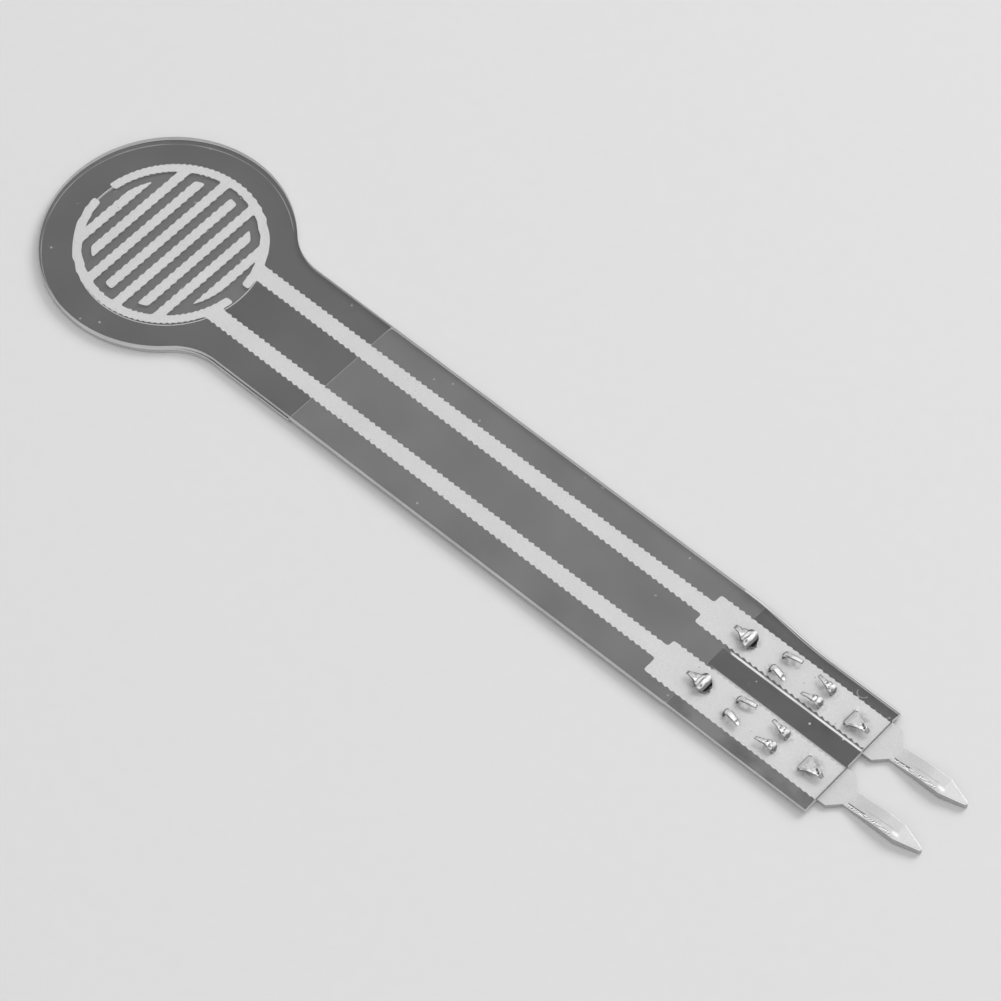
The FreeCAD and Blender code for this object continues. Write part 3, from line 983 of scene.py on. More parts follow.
@dataclass(frozen=True)
class SilverFinish(Finish):
    """Screen-printed silver: pale, even and matte, with a fine grain, and painted shade of the dimples round
    the claws.
    """

    mottling = (700.0, 0.05, 14000.0, 0.16)
    spread = (0.08, 0.1)
    bump = 0.25
    fixed = {"Metallic": 0.3}

    def look(self, tree: Tree, place: bpy.types.NodeSocket, groups: Groups) -> Look:
        """Draws the print: painted shade of the dimples round the claws, and painted shade on the walls in
        their slots.

        Args:
            tree: The material's tree.
            place: Object coordinates.
            groups: The shared node groups.

        Returns:
            The tone.
        """
        claws = groups.use(tree, groups.claws, place)
        # Painted shade of the dimples round the claws, and painted shade on the walls of their slots.
        dark_patch = claws["Near"] * tree.noise(place, 5200.0, 3.0).ramp(0.4, 0.62, 0.0, 0.65)
        slot_wall_shade = claws["Torn"] * groups.use(tree, groups.cut, place)["Mask"]
        return Look(tree.mix(slot_wall_shade, tree.mix(dark_patch, grey(self.level), grey(0.38)), grey(0.03)))


@dataclass(frozen=True)
class InkFinish(Finish):
    """Dark resistive ink with a dry, grainy surface."""

    mottling = (500.0, 0.1, 12000.0, 0.35)
    bump = 0.3


@dataclass(frozen=True)
class TinFinish(Finish):
    """Tin-plated sheet: satin metal with rolling lines, painted light on its cut edges and on the blade under
    the film, and painted shade and highlights on the folded claws.
    """

    line_y: float = 0.54
    blade_edge: float = 2.1
    film_end: float = 34.8
    film_top: float = 0.408
    blade_top: float = 0.2
    reach: float = 0.1

    mottling = (1500.0, 0.07, 16000.0, 0.14)
    spread = (0.08, 0.12)
    bump = 0.07
    fixed = {"Metallic": 0.35}

    def painted_light_under_film(self, x: Value, y: Value, z: Value, torn: Value) -> tuple[Value, Value]:
        """Masks the painted light on what shows of the blade through the film.

        Args:
            x: Place along the tail.
            y: Place across it.
            z: Height.
            torn: Mask of the claws' torn slots.

        Returns:
            The painted highlight on the strip between the pads, and the painted shade: under the
            slots, beside the strip and along the blades' outer edges.
        """
        covered = x < self.film_end
        # Painted highlight on the blade's strip beside the pad's inner edge; a painted shadow beside it, and
        # painted shade along the blades' outer edges and under the slots.
        painted_highlight = (abs(y - (self.line_y - 0.07)) < 0.07) * covered * (z < self.blade_top + self.reach)
        shade = abs(y - (self.line_y + 0.12)).ramp(0.13, 0.15, 0.9, 0.0)
        edge = abs(y).ramp(self.blade_edge - 0.07, self.blade_edge - 0.03, 0.0, 0.85)
        on_face = abs(z - self.blade_top) < self.reach
        return painted_highlight, on_face * (torn | covered * (shade | edge))

    def look(self, tree: Tree, place: bpy.types.NodeSocket, groups: Groups) -> Look:
        """Draws the metal: painted light on cut edges, painted shade and highlights from the mesh's marks,
        painted shade in thin creases on the claws.

        Args:
            tree: The material's tree.
            place: Object coordinates.
            groups: The shared node groups.

        Returns:
            The tone and the relief of the rolling lines.
        """
        x, y, z = tree.axes(place)
        cut = groups.use(tree, groups.cut, place)
        mark = tree.mark()
        painted_highlight, painted_shade = self.painted_light_under_film(x, y, z, groups.use(tree, groups.claws, place)["Torn"])
        folds = tree.noise(place, 5500.0, 1.0)
        # Painted shade in thin noise creases on the claws.
        crease_shade = (z > self.film_top) * abs(folds - 0.5).ramp(0.01, 0.03, 0.3, 0.0)
        tone = grey(self.level)
        # Painted shade on cut walls and painted highlights on their rounds and on the blade's strip; painted
        # highlights at negative marks, painted shade at positive marks and creases, and painted shade under
        # the film.
        for mask, level in ((cut["Mask"], 0.45), (cut["Rim"], 0.95), (painted_highlight, 1.0),
                            (mark.step("MULTIPLY", -1.0, clamp=True), 1.0),
                            (crease_shade.step("MAXIMUM", mark, clamp=True), 0.06), (painted_shade, 0.015)):
            tone = tree.mix(mask, tone, grey(level))
        rolled = tree.add("Mapping", None, Vector=place, Scale=(0.08, 1.0, 1.0)).outputs[0]
        return Look(tone, relief=tree.noise(rolled, 22000.0, 3.0))


@dataclass(frozen=True)
class FloorFinish(Finish):
    """Pale, even studio floor with the faintest grain."""

    mottling = (12.0, 0.01, 1500.0, 0.015)


# Claws
class ClawKind(Enum):
    """How a claw was folded: rows of reach, height over the film, half width and sideways shift."""

    CREST = ((-0.02, -0.3, 0.3, 0.0), (-0.02, -0.02, 0.32, 0.0), (0.08, 0.095, 0.35, 0.0),
             (0.19, 0.12, 0.35, 0.0), (0.28, 0.105, 0.34, 0.0), (0.34, 0.035, 0.28, 0.0),
             (0.42, 0.065, 0.2, 0.01), (0.62, 0.06, 0.12, 0.03), (0.76, 0.045, 0.09, 0.04),
             (0.88, 0.03, 0.07, 0.05))
    BROAD = ((-0.02, -0.3, 0.36, 0.0), (-0.02, -0.02, 0.38, 0.0), (0.04, 0.03, 0.37, 0.0),
             (0.2, 0.035, 0.31, 0.0), (0.44, 0.045, 0.22, 0.02), (0.55, 0.1, 0.18, 0.03),
             (0.64, 0.06, 0.15, 0.04), (0.74, 0.095, 0.13, 0.05), (0.95, 0.03, 0.07, 0.07))
    BAR = ((-0.02, -0.3, 0.14, 0.0), (-0.02, -0.02, 0.16, 0.0), (0.05, 0.06, 0.15, 0.0),
           (0.15, 0.11, 0.12, 0.01), (0.5, 0.1, 0.12, 0.07), (0.55, 0.03, 0.1, 0.085),
           (0.6, 0.06, 0.09, 0.09), (0.74, 0.03, 0.07, 0.12))
    SLIVER = ((-0.02, -0.3, 0.12, 0.0), (-0.02, -0.02, 0.14, 0.0), (0.06, 0.08, 0.13, 0.0),
              (0.18, 0.1, 0.1, 0.02), (0.5, 0.08, 0.075, 0.1), (0.74, 0.03, 0.06, 0.15))
    CRUMPLED = ((-0.02, -0.3, 0.13, 0.0), (-0.02, -0.02, 0.16, 0.0), (0.08, 0.115, 0.17, 0.0),
                (0.17, 0.06, 0.16, 0.0), (0.26, 0.12, 0.15, 0.02), (0.35, 0.055, 0.12, 0.03),
                (0.5, 0.05, 0.08, 0.06), (0.66, 0.04, 0.08, 0.1), (0.8, 0.025, 0.06, 0.12))


# Places on each kind of claw with painted shade (above zero) or a painted highlight (below zero):
# reach, place across from -1 to 1, half length, half breadth, strength.
CLAW_SHADE_AND_HIGHLIGHTS = {
    ClawKind.CREST: ((0.345, 0.0, 0.025, 3.0, 1.0), (0.18, -0.2, 0.02, 0.75, 1.0),
                     (0.02, 0.0, 0.03, 3.0, 0.6), (0.26, 0.1, 0.045, 0.8, -1.0),
                     (0.1, 0.25, 0.045, 0.7, -1.0), (0.45, -0.5, 0.05, 0.35, -0.9),
                     (0.28, 0.7, 0.1, 0.12, 1.0), (0.1, -0.55, 0.04, 0.2, 0.8), (0.55, 0.5, 0.08, 0.2, 0.6),
                     (0.8, 0.0, 0.05, 0.4, 0.7)),
    ClawKind.BROAD: ((0.03, 0.97, 0.07, 0.1, 0.9), (0.03, -0.97, 0.07, 0.1, 0.9),
                     (0.58, -0.62, 0.24, 0.2, -1.0), (0.6, 0.3, 0.07, 0.35, 1.0),
                     (0.72, 0.0, 0.045, 0.6, 1.0), (0.5, 0.1, 0.035, 0.2, -0.9),
                     (0.86, 0.0, 0.06, 0.7, -1.0), (0.25, -0.75, 0.1, 0.1, 0.6)),
    ClawKind.BAR: ((0.02, 0.85, 0.08, 0.35, 1.0), (0.02, -0.85, 0.08, 0.35, 1.0),
                   (0.35, 0.0, 0.16, 0.8, -1.0), (0.56, 0.2, 0.035, 1.0, 1.0),
                   (0.69, 0.0, 0.06, 0.9, -1.0)),
    ClawKind.SLIVER: ((0.02, 0.7, 0.06, 0.5, 0.9), (0.16, -0.75, 0.1, 0.2, 0.9),
                      (0.48, 0.0, 0.17, 0.6, -1.0), (0.74, 0.0, 0.045, 3.0, 1.0)),
    ClawKind.CRUMPLED: ((0.1, 0.3, 0.045, 0.5, -1.0), (0.25, -0.25, 0.05, 0.5, -1.0),
                        (0.18, 0.0, 0.024, 1.2, 1.0), (0.32, 0.35, 0.03, 0.7, 1.0),
                        (0.41, -0.3, 0.035, 0.4, -0.9), (0.03, -0.4, 0.03, 0.6, 0.8),
                        (0.12, -0.6, 0.06, 0.2, 0.8), (0.78, 0.0, 0.035, 2.0, 0.9),
                        (0.66, 0.9, 0.08, 0.4, 0.9)),
}

# Strength of the painted shade line at the root, where it isn't 0.9.
ROOT_SHADE = {ClawKind.BROAD: 0.2, ClawKind.BAR: 0.65, ClawKind.SLIVER: 0.75}

# Height of the crumpling in millimetres, where it isn't 0.003.
CRUMPLING = {ClawKind.CRUMPLED: 0.03, ClawKind.BROAD: 0.025, ClawKind.CREST: 0.012}


@dataclass(frozen=True)
class Claw:
    """One lanced claw: it stands up through the film at its root and folds over towards its tip."""

    root_x: float
    middle_y: float
    way: int
    across: int
    kind: ClawKind
    tear: float
    seed: float
    sheet: float = 0.075

    @property
    def root_half(self) -> float:
        """Half the claw's width where it leaves the film."""
        return self.kind.value[1][2]

    def hole(self) -> np.ndarray:
        """Outlines the torn slot in the film and the print round the claw's leg.

        Returns:
            The slot's outline: half an ellipse before the leg and a deeper half behind it.
        """
        angle = np.linspace(0.0, 2.0 * math.pi, 64, endpoint=False)
        front, back = 0.03, 0.06 + self.tear
        behind = np.cos(angle) < 0
        ragged = 1.0 + 0.16 * np.sin(7.0 * angle + self.seed) * min(1.0, self.tear * 6.0)
        reach = np.where(behind, -back * np.abs(np.cos(angle)) ** 0.8 * ragged, np.cos(angle) * front)
        height = np.abs(np.sin(angle))
        rise = np.where(behind & (self.tear > 0.0), height ** 1.9, height ** 0.8)
        y = self.middle_y + np.sign(np.sin(angle)) * rise * self.root_half * 0.97
        y = y - 0.06 * np.abs(np.cos(angle)) * (self.tear > 0.0)
        return np.stack([self.root_x + self.way * reach, y], axis=1)

    def surface(self, film_top: float, top: float) -> Shape:
        """Sweeps a thin curled strip along the claw's folded middle line.

        The strip's half thickness is added along the middle line's normal. Its rims curl up with
        the square of the distance across, and two crossing waves with sharp crests crumple it.

        Args:
            film_top: Height of the film's upper side.
            top: Highest that the claw may reach.

        Returns:
            The claw's closed surface.
        """
        line = drawn(np.array(self.kind.value), 72, 3)
        slope = np.gradient(line[:, :2], axis=0)
        slope /= np.linalg.norm(slope, axis=1, keepdims=True)
        normal = np.stack([-slope[:, 1], slope[:, 0]], axis=1)
        v = np.linspace(-1.0, 1.0, 26)[None, :]
        out = np.clip(line[:, :1] / 0.8, 0.0, 1.0)
        folds = np.abs(np.sin(9.0 * out + 2.2 * v + self.seed)) - 0.6
        folds = folds + 0.6 * (np.abs(np.sin(15.0 * out - 3.1 * v + 2.0 * self.seed)) - 0.6)
        amount = CRUMPLING.get(self.kind, 0.003)
        if self.kind is ClawKind.BROAD:
            amount = amount * eased((out - 0.5) / 0.2)
        lifted = 0.03 * v ** 2 * np.minimum(out, 0.6)
        lifted = lifted + amount * folds * np.clip(line[:, 1:2] / 0.06, 0.0, 1.0)
        half_sheet = self.sheet * (0.5 - 0.26 * out) * np.sqrt(1.0 - 0.75 * v ** 4)
        half_sheet[-1] *= 0.4
        tilt = 0.045 * self.across * v * out if self.kind is ClawKind.SLIVER else 0.0
        half_width = line[:, 2:3] * (1.0 + 0.05 * np.sin(13.0 * out + self.seed))
        side = self.across if self.across else self.seed / abs(self.seed)
        y = self.middle_y + side * line[:, 3:4] + half_width * v
        sheets = []
        for sign in (1.0, -1.0):
            offset = lifted + sign * half_sheet
            x = self.root_x + self.way * (line[:, :1] + normal[:, :1] * offset)
            z = film_top + line[:, 1:2] + normal[:, 1:] * offset + tilt
            sheets.append(np.stack([x, y + 0.0 * x, np.minimum(z, top - 0.002 + sign * 0.002)], axis=-1))
        return two_sided(sheets[0], sheets[1], self.marks(line, v, folds, out))

    def marks(self, line: np.ndarray, v: np.ndarray, folds: np.ndarray, out: np.ndarray) -> np.ndarray:
        """Marks painted shade above zero and painted highlights below it.

        The rims, the root, the tip and deep folds get painted shade. Each mark of the claw's kind is a
        bell of the distance from its place, and painted shade wins over painted highlights.

        Args:
            line: The middle line.
            v: Place across the strip, from -1 to 1.
            folds: The crumpling waves.
            out: Place along the claw, from 0 at the root to 1 at the tip.

        Returns:
            One mark from -1 to 1 for each row and column.
        """
        broad = self.kind is ClawKind.BROAD
        rim_start = 0.87 if broad else 0.74
        # Painted shade along the rims, at the root and at the tip, and in the deep folds of crumpled claws.
        rim = 0.95 * eased((np.abs(v) - rim_start) / 0.12) * eased((out - 0.12) / 0.15)
        root = ROOT_SHADE.get(self.kind, 0.9) * np.exp(-((line[:, 1:2] - 0.01) / 0.03) ** 2) * (out < 0.2)
        tip = 0.7 * eased((out - 0.95) / 0.05)
        painted_shade = np.maximum(np.maximum(rim, root), tip + 0.0 * v)
        if self.kind is ClawKind.CRUMPLED:
            painted_shade = np.maximum(painted_shade, 0.6 * eased((-folds - 0.35) / 0.25) * eased((out - 0.25) / 0.2))
        painted_highlight = 0.0 * painted_shade
        wobble = 0.015 * np.sin(5.0 * v + self.seed)
        for reach, across, length, breadth, strength in CLAW_SHADE_AND_HIGHLIGHTS[self.kind]:
            off = ((line[:, :1] - reach + wobble) / length) ** 2 + ((v - across) / breadth) ** 2
            bell = np.exp(-off ** 2) * (line[:, 1:2] > 0.0)
            if strength > 0.0:
                painted_shade = np.maximum(painted_shade, strength * bell)
            else:
                painted_highlight = np.maximum(painted_highlight, -strength * bell)
        return painted_shade - painted_highlight * (1.0 - np.clip(1.5 * painted_shade, 0.0, 1.0))


@dataclass
class ClawRows:
    """Places the six claws of each terminal."""

    film_end: float
    centre_inset: float = 3.7
    outer_offset: float = 2.45
    inner_offset: float = 1.16
    inner_middle: float = 0.37
    broad_offset: float = 0.09
    broad_inset: float = 0.08

    @property
    def centre(self) -> float:
        """Middle of the claw rows along the tail."""
        return self.film_end - self.centre_inset

    def claws(self, side: Side) -> list[Claw]:
        """Lists the claws of one terminal.

        Args:
            side: Which terminal.

        Returns:
            The claws, from the head's end to the pins' end.
        """
        middle = PIN_SPACING / 2.0 * side.value
        seed = 0.9 if side is Side.UPPER else -1.7
        claws = [Claw(self.centre - self.outer_offset, middle, -1, 0, ClawKind.CREST, 0.17, seed)]
        for way, across, kind in ((1, 1, ClawKind.SLIVER), (1, -1, ClawKind.BAR),
                                  (-1, 1, ClawKind.CRUMPLED), (-1, -1, ClawKind.CRUMPLED)):
            x, y = self.centre - way * self.inner_offset, middle + across * self.inner_middle
            claws.append(Claw(x, y, way, across, kind, 0.0, seed + way * across))
        x = self.centre + self.outer_offset - self.broad_inset
        claws.append(Claw(x, middle - self.broad_offset, 1, 0, ClawKind.BROAD, 0.0, -0.9))
        return claws

    def holes(self, side: Side) -> list[np.ndarray]:
        """Returns the outlines of the slots of one terminal's claws."""
        return [claw.hole() for claw in self.claws(side)]


@dataclass
class Lay:
    """How the laminate lies: flat, but drooping beside the blades and puckered round the claws."""

    rows: ClawRows
    droop_start: float
    blade_edge: float
    half_width: float
    pucker: float = 0.026
    far_droop: float = 0.13
    near_droop: float = 0.04
    drawn_in: float = 0.18

    def lift(self, x: np.ndarray, y: np.ndarray) -> np.ndarray:
        """Height that the laminate gains or loses at each point.

        Beside the blades it droops, eased along and straight across. Round each claw it rises
        by a bell of the distance from the root, and two small folds run back from a broad claw.

        Args:
            x: Places along the tail.
            y: Places across it.

        Returns:
            The heights.
        """
        along = eased((x - self.droop_start) / 4.5)
        beyond = np.clip((np.abs(y) - self.blade_edge) / (self.half_width - self.blade_edge), 0.0, 1.0)
        lift = -np.where(y > 0.0, self.far_droop, self.near_droop) * along * beyond
        for side in Side:
            for claw in self.rows.claws(side):
                away = ((x - claw.root_x + claw.way * 0.08) / 0.2) ** 2
                away = away + ((y - claw.middle_y) / (claw.root_half * 1.5)) ** 2
                lift = lift + self.pucker * np.exp(-away)
                if claw.kind is ClawKind.BROAD:
                    back = (claw.root_x - x) * claw.way
                    ear = np.abs(y - claw.middle_y) - 0.36 - back * 0.8
                    lift = lift + 0.03 * np.exp(-(ear / 0.05) ** 2 - ((back - 0.06) / 0.1) ** 2)
        return lift

    def shaped(self, shape: Shape) -> Shape:
        """Moves a flat shape to how the laminate lies.

        The far strip turns down, so its edge comes in a little, and the film's end is cut askew.

        Args:
            shape: The flat shape.

        Returns:
            The shape as it lies.
        """
        vertices = shape.vertices.copy()
        x, y = shape.vertices[:, 0], shape.vertices[:, 1]
        vertices[:, 2] += self.lift(x, y)
        beyond = np.clip((y - self.blade_edge) / (self.half_width - self.blade_edge), 0.0, 1.0)
        vertices[:, 1] -= self.drawn_in * beyond * eased((x - self.droop_start) / 4.0)
        vertices[:, 0] -= eased((x - self.droop_start - 5.0) / 2.5) * (0.07 + 0.02 * y)
        return Shape(vertices, shape.faces, shape.marks)


# Film layers
@dataclass
class FilmStack:
    """The clear films, the spacer, the resistive disc and the tail cover."""

    rows: ClawRows
    lay: Lay
    opening: tuple[float, float]
    opening_radius: float
    print_place: tuple[float, float]
    neck_radius: float = 2.5
    step: float = 0.06
    coarse_step: float = 0.7
    fine_step: float = 0.13

    @property
    def head_radius(self) -> float:
        """The head's radius, from the frame."""
        return node_box("top_film")[1][1]

    def outline(self, half_width: float, end: float) -> np.ndarray:
        """Outlines a head with its tail: a circle, two neck rounds and two straight sides.

        The neck round touches both, so its centre lies the two radii away from the head's centre.

        Args:
            half_width: Half the tail's width.
            end: Where the tail ends.

        Returns:
            The anticlockwise outline.
        """
        reach = self.head_radius + self.neck_radius
        centre_y = half_width + self.neck_radius
        centre_x = math.sqrt(reach ** 2 - centre_y ** 2)
        touch = math.atan2(centre_y, centre_x)
        upper = arc(self.neck_radius, -math.pi / 2.0, touch - math.pi, (centre_x, centre_y))
        head = arc(self.head_radius, touch, 2.0 * math.pi - touch)
        lower = arc(self.neck_radius, math.pi - touch, math.pi / 2.0, (centre_x, -centre_y))
        sides = np.array([[end, -half_width], [end, half_width]])
        return respaced(np.vstack([sides, upper, head, lower]), self.step)

    def top_film(self) -> Shape:
        """Makes the clear top film with its torn slots.

        Returns:
            The film's closed surface.
        """
        low, high = node_box("top_film")
        tail_half, bend = self.lay.half_width, self.lay.droop_start
        outline = self.outline(tail_half, high[0])
        low[2] += LAYER_GAP
        holes = [hole for side in Side for hole in self.rows.holes(side)]
        coarse = grid_points((low[0] + 0.3, low[1] + 0.3), (bend - 0.2, high[1] - 0.3), self.coarse_step)
        fine = grid_points((bend, -tail_half + 0.1), (high[0] - 0.1, tail_half - 0.05), self.fine_step)
        film = slab(outline, low[2], high[2], holes, np.vstack([coarse, fine]))
        film.marks = (np.arange(len(film.vertices)) >= len(film.vertices) // 2).astype(float)
        return self.lay.shaped(film)

    def neck_outline(self, node: str) -> np.ndarray:
        """Outlines a head-and-neck layer, a hair wider than the tail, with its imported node's end."""
        return self.outline(self.lay.half_width + 0.05, node_box(node)[1][0])

    def circle(self, inset: float = 0.0) -> np.ndarray:
        """Outlines the spacer's opening, or what fills it with a gap round it."""
        return respaced(arc(self.opening_radius - inset, 0.0, 2.0 * math.pi, self.opening)[:-1], self.step)

    def spacer(self) -> Shape:
        """Makes the spacer with its round opening.

        Returns:
            The layer's closed surface.
        """
        low, high = node_box("spacer_adhesive")
        outline = self.neck_outline("spacer_adhesive")
        return slab(outline, low[2] + LAYER_GAP, high[2] - LAYER_GAP, [self.circle()])

    def base(self) -> Shape:
        """Returns the film under the head and neck."""
        low, high = node_box("bottom_film")
        return slab(self.neck_outline("bottom_film"), low[2], high[2] - LAYER_GAP)

    def disc(self) -> Shape:
        """Returns the resistive disc under the fingers."""
        low, high = node_box("resistive_disc")
        return slab(self.circle(0.01), low[2], high[2])

    def cover(self) -> Shape:
        """Makes the cover strip under the tail.

        Returns:
            The layer's closed surface.
        """
        low, high = node_box("tail_cover")
        corners = np.array([[low[0], low[1]], [high[0], low[1]], [high[0], high[1]], [low[0], high[1]]])
        return slab(respaced(corners, 0.3), low[2], high[2] - LAYER_GAP)

    def build(self, groups: Groups) -> list[bpy.types.Object]:
        """Builds and dresses every layer.

        Args:
            groups: The shared node groups.

        Returns:
            The new pieces.
        """
        zone_start = node_box("tail_cover")[1][0]
        clear = TopFilmFinish("clear_film", level=0.5, roughness=0.22, haze=0.1, edge_haze=0.8,
                              edge_level=0.75, zone_start=zone_start, print_place=self.print_place,
                              half_width=self.lay.half_width)
        glue = SpacerFinish("spacer_glue", level=0.045, roughness=0.5, haze=1.0, edge_haze=1.0,
                            opening=self.opening, opening_radius=self.opening_radius)
        ink = InkFinish("resistive_ink", level=0.11, roughness=0.7)
        base = FilmFinish("base_film", level=0.11, roughness=0.3, haze=0.62, edge_haze=0.85)
        strip = FilmFinish("cover_film", level=0.145, roughness=0.35, haze=0.9, edge_haze=0.85)
        plan = (
            ("clear_top_film", self.top_film(), "top_film", "clear_film", clear, 0.02),
            ("spacer_layer", self.spacer(), "spacer_adhesive", "adhesive", glue, 0.01),
            ("resistive_print", self.disc(), "resistive_disc", "resistive_print", ink, 0.0),
            ("clear_base_film", self.base(), "bottom_film", "base_film", base, 0.015),
            ("tail_cover_film", self.cover(), "tail_cover", "cover_film", strip, 0.01),
        )
        return [place_piece(name, shape, node, finish.build(groups), bevel)
                for name, shape, node, slot, finish, bevel in plan]


def place_piece(name: str, shape: Shape, node: str, material: bpy.types.Material,
                bevel: float) -> bpy.types.Object:
    """Makes a piece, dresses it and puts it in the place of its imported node.

    Args:
        name: The piece's name.
        shape: Its closed surface.
        node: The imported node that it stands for.
        material: Its finish.
        bevel: Width of its rounded edges.

    Returns:
        The new object.
    """
    piece = shape.to_object(name, bevel)
    piece.data.materials.append(material)
    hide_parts(node)
    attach(piece, ROOT)
    LOG.info("%s: %d faces, %.3f mm3", name, len(shape.faces), volume(shape))
    return piece


# Printed combs
@dataclass
class PrintedComb:
    """One electrode: half the ring, every second finger, the trace and the pad."""

    side: Side
    rows: ClawRows
    lay: Lay
    print_place: tuple[float, float]
    ring_radius: float = 3.8
    ring_width: float = 0.36
    ring_break: float = 0.82
    finger_count: int = 8
    finger_space: float = 0.407
    finger_shift: float = 0.03
    finger_end_space: float = 0.365
    edge_inset: float = 0.036
    trace_width: float = 0.7
    pad_length: float = 8.37
    step: float = 0.026
    edge_margin: float = 0.06

    def outline(self) -> np.ndarray:
        """Outlines the comb in one closed run.

        Along the ring's outside, out and back round the trace and the pad, then back along the
        ring's inside, going down and up round each finger.

        Returns:
            The anticlockwise outline, in the print's own frame.
        """
        outer = self.ring_radius
        inner = outer - self.ring_width
        free = inner - self.finger_end_space
        half_break = self.ring_break / 2.0
        low = (PIN_SPACING - self.trace_width) / 2.0
        high = low + self.trace_width
        end = self.rows.film_end - self.print_place[0]
        pad_x, end_x = end - self.pad_length, end + 0.4
        pad_low, pad_high = PAD_EDGES[self.side]
        runs = [arc(outer, math.asin(half_break / outer), math.asin(low / outer))]
        runs.append(np.array([[pad_x, low], [pad_x, pad_low], [end_x, pad_low], [end_x, pad_high],
                              [pad_x, pad_high], [pad_x, high]]))
        runs.append(arc(outer, math.asin(high / outer), math.pi - math.asin(half_break / outer)))
        angle = math.pi - math.asin(half_break / inner)
        pitch = (2.0 * (free - self.edge_inset) + self.finger_space) / self.finger_count
        half_finger = (pitch - self.finger_space) / 2.0
        for number in range(1 if self.side is Side.UPPER else 0, self.finger_count, 2):
            centre = (number - (self.finger_count - 1) / 2.0) * pitch + self.finger_shift
            left, right = centre - half_finger, centre + half_finger
            runs.append(arc(inner, angle, math.acos(left / inner)))
            runs.append(arc(free, -math.acos(left / free), -math.acos(right / free)))
            angle = math.acos(right / inner)
        runs.append(arc(inner, angle, math.asin(half_break / inner)))
        outline = respaced(np.vstack(runs), self.step)
        if self.side is Side.LOWER:
            outline = (outline * [1.0, -1.0])[::-1]
        return outline

    def build(self, material: bpy.types.Material) -> bpy.types.Object:
        """Builds and dresses the comb.

        Args:
            material: The silver finish.

        Returns:
            The new piece.
        """
        node = f"electrode_{self.side.name.lower()}"
        low, high = node_box(node)
        outline = toothed(softened(self.outline(), 7), TOOTH_DEPTH)
        outline = cut_off(outline + self.print_place, high[0])
        grid = grid_points((self.lay.droop_start, -2.4), (self.rows.film_end - 0.1, 2.4), 0.1)
        margin = [0.0, self.edge_margin]
        grid = grid[inside(grid + margin, outline) & inside(grid - margin, outline)]
        plate = slab(outline, low[2], high[2], self.rows.holes(self.side), grid)
        name = f"silver_comb_{self.side.name.lower()}"
        return place_piece(name, self.lay.shaped(plate), node, material, 0.0)


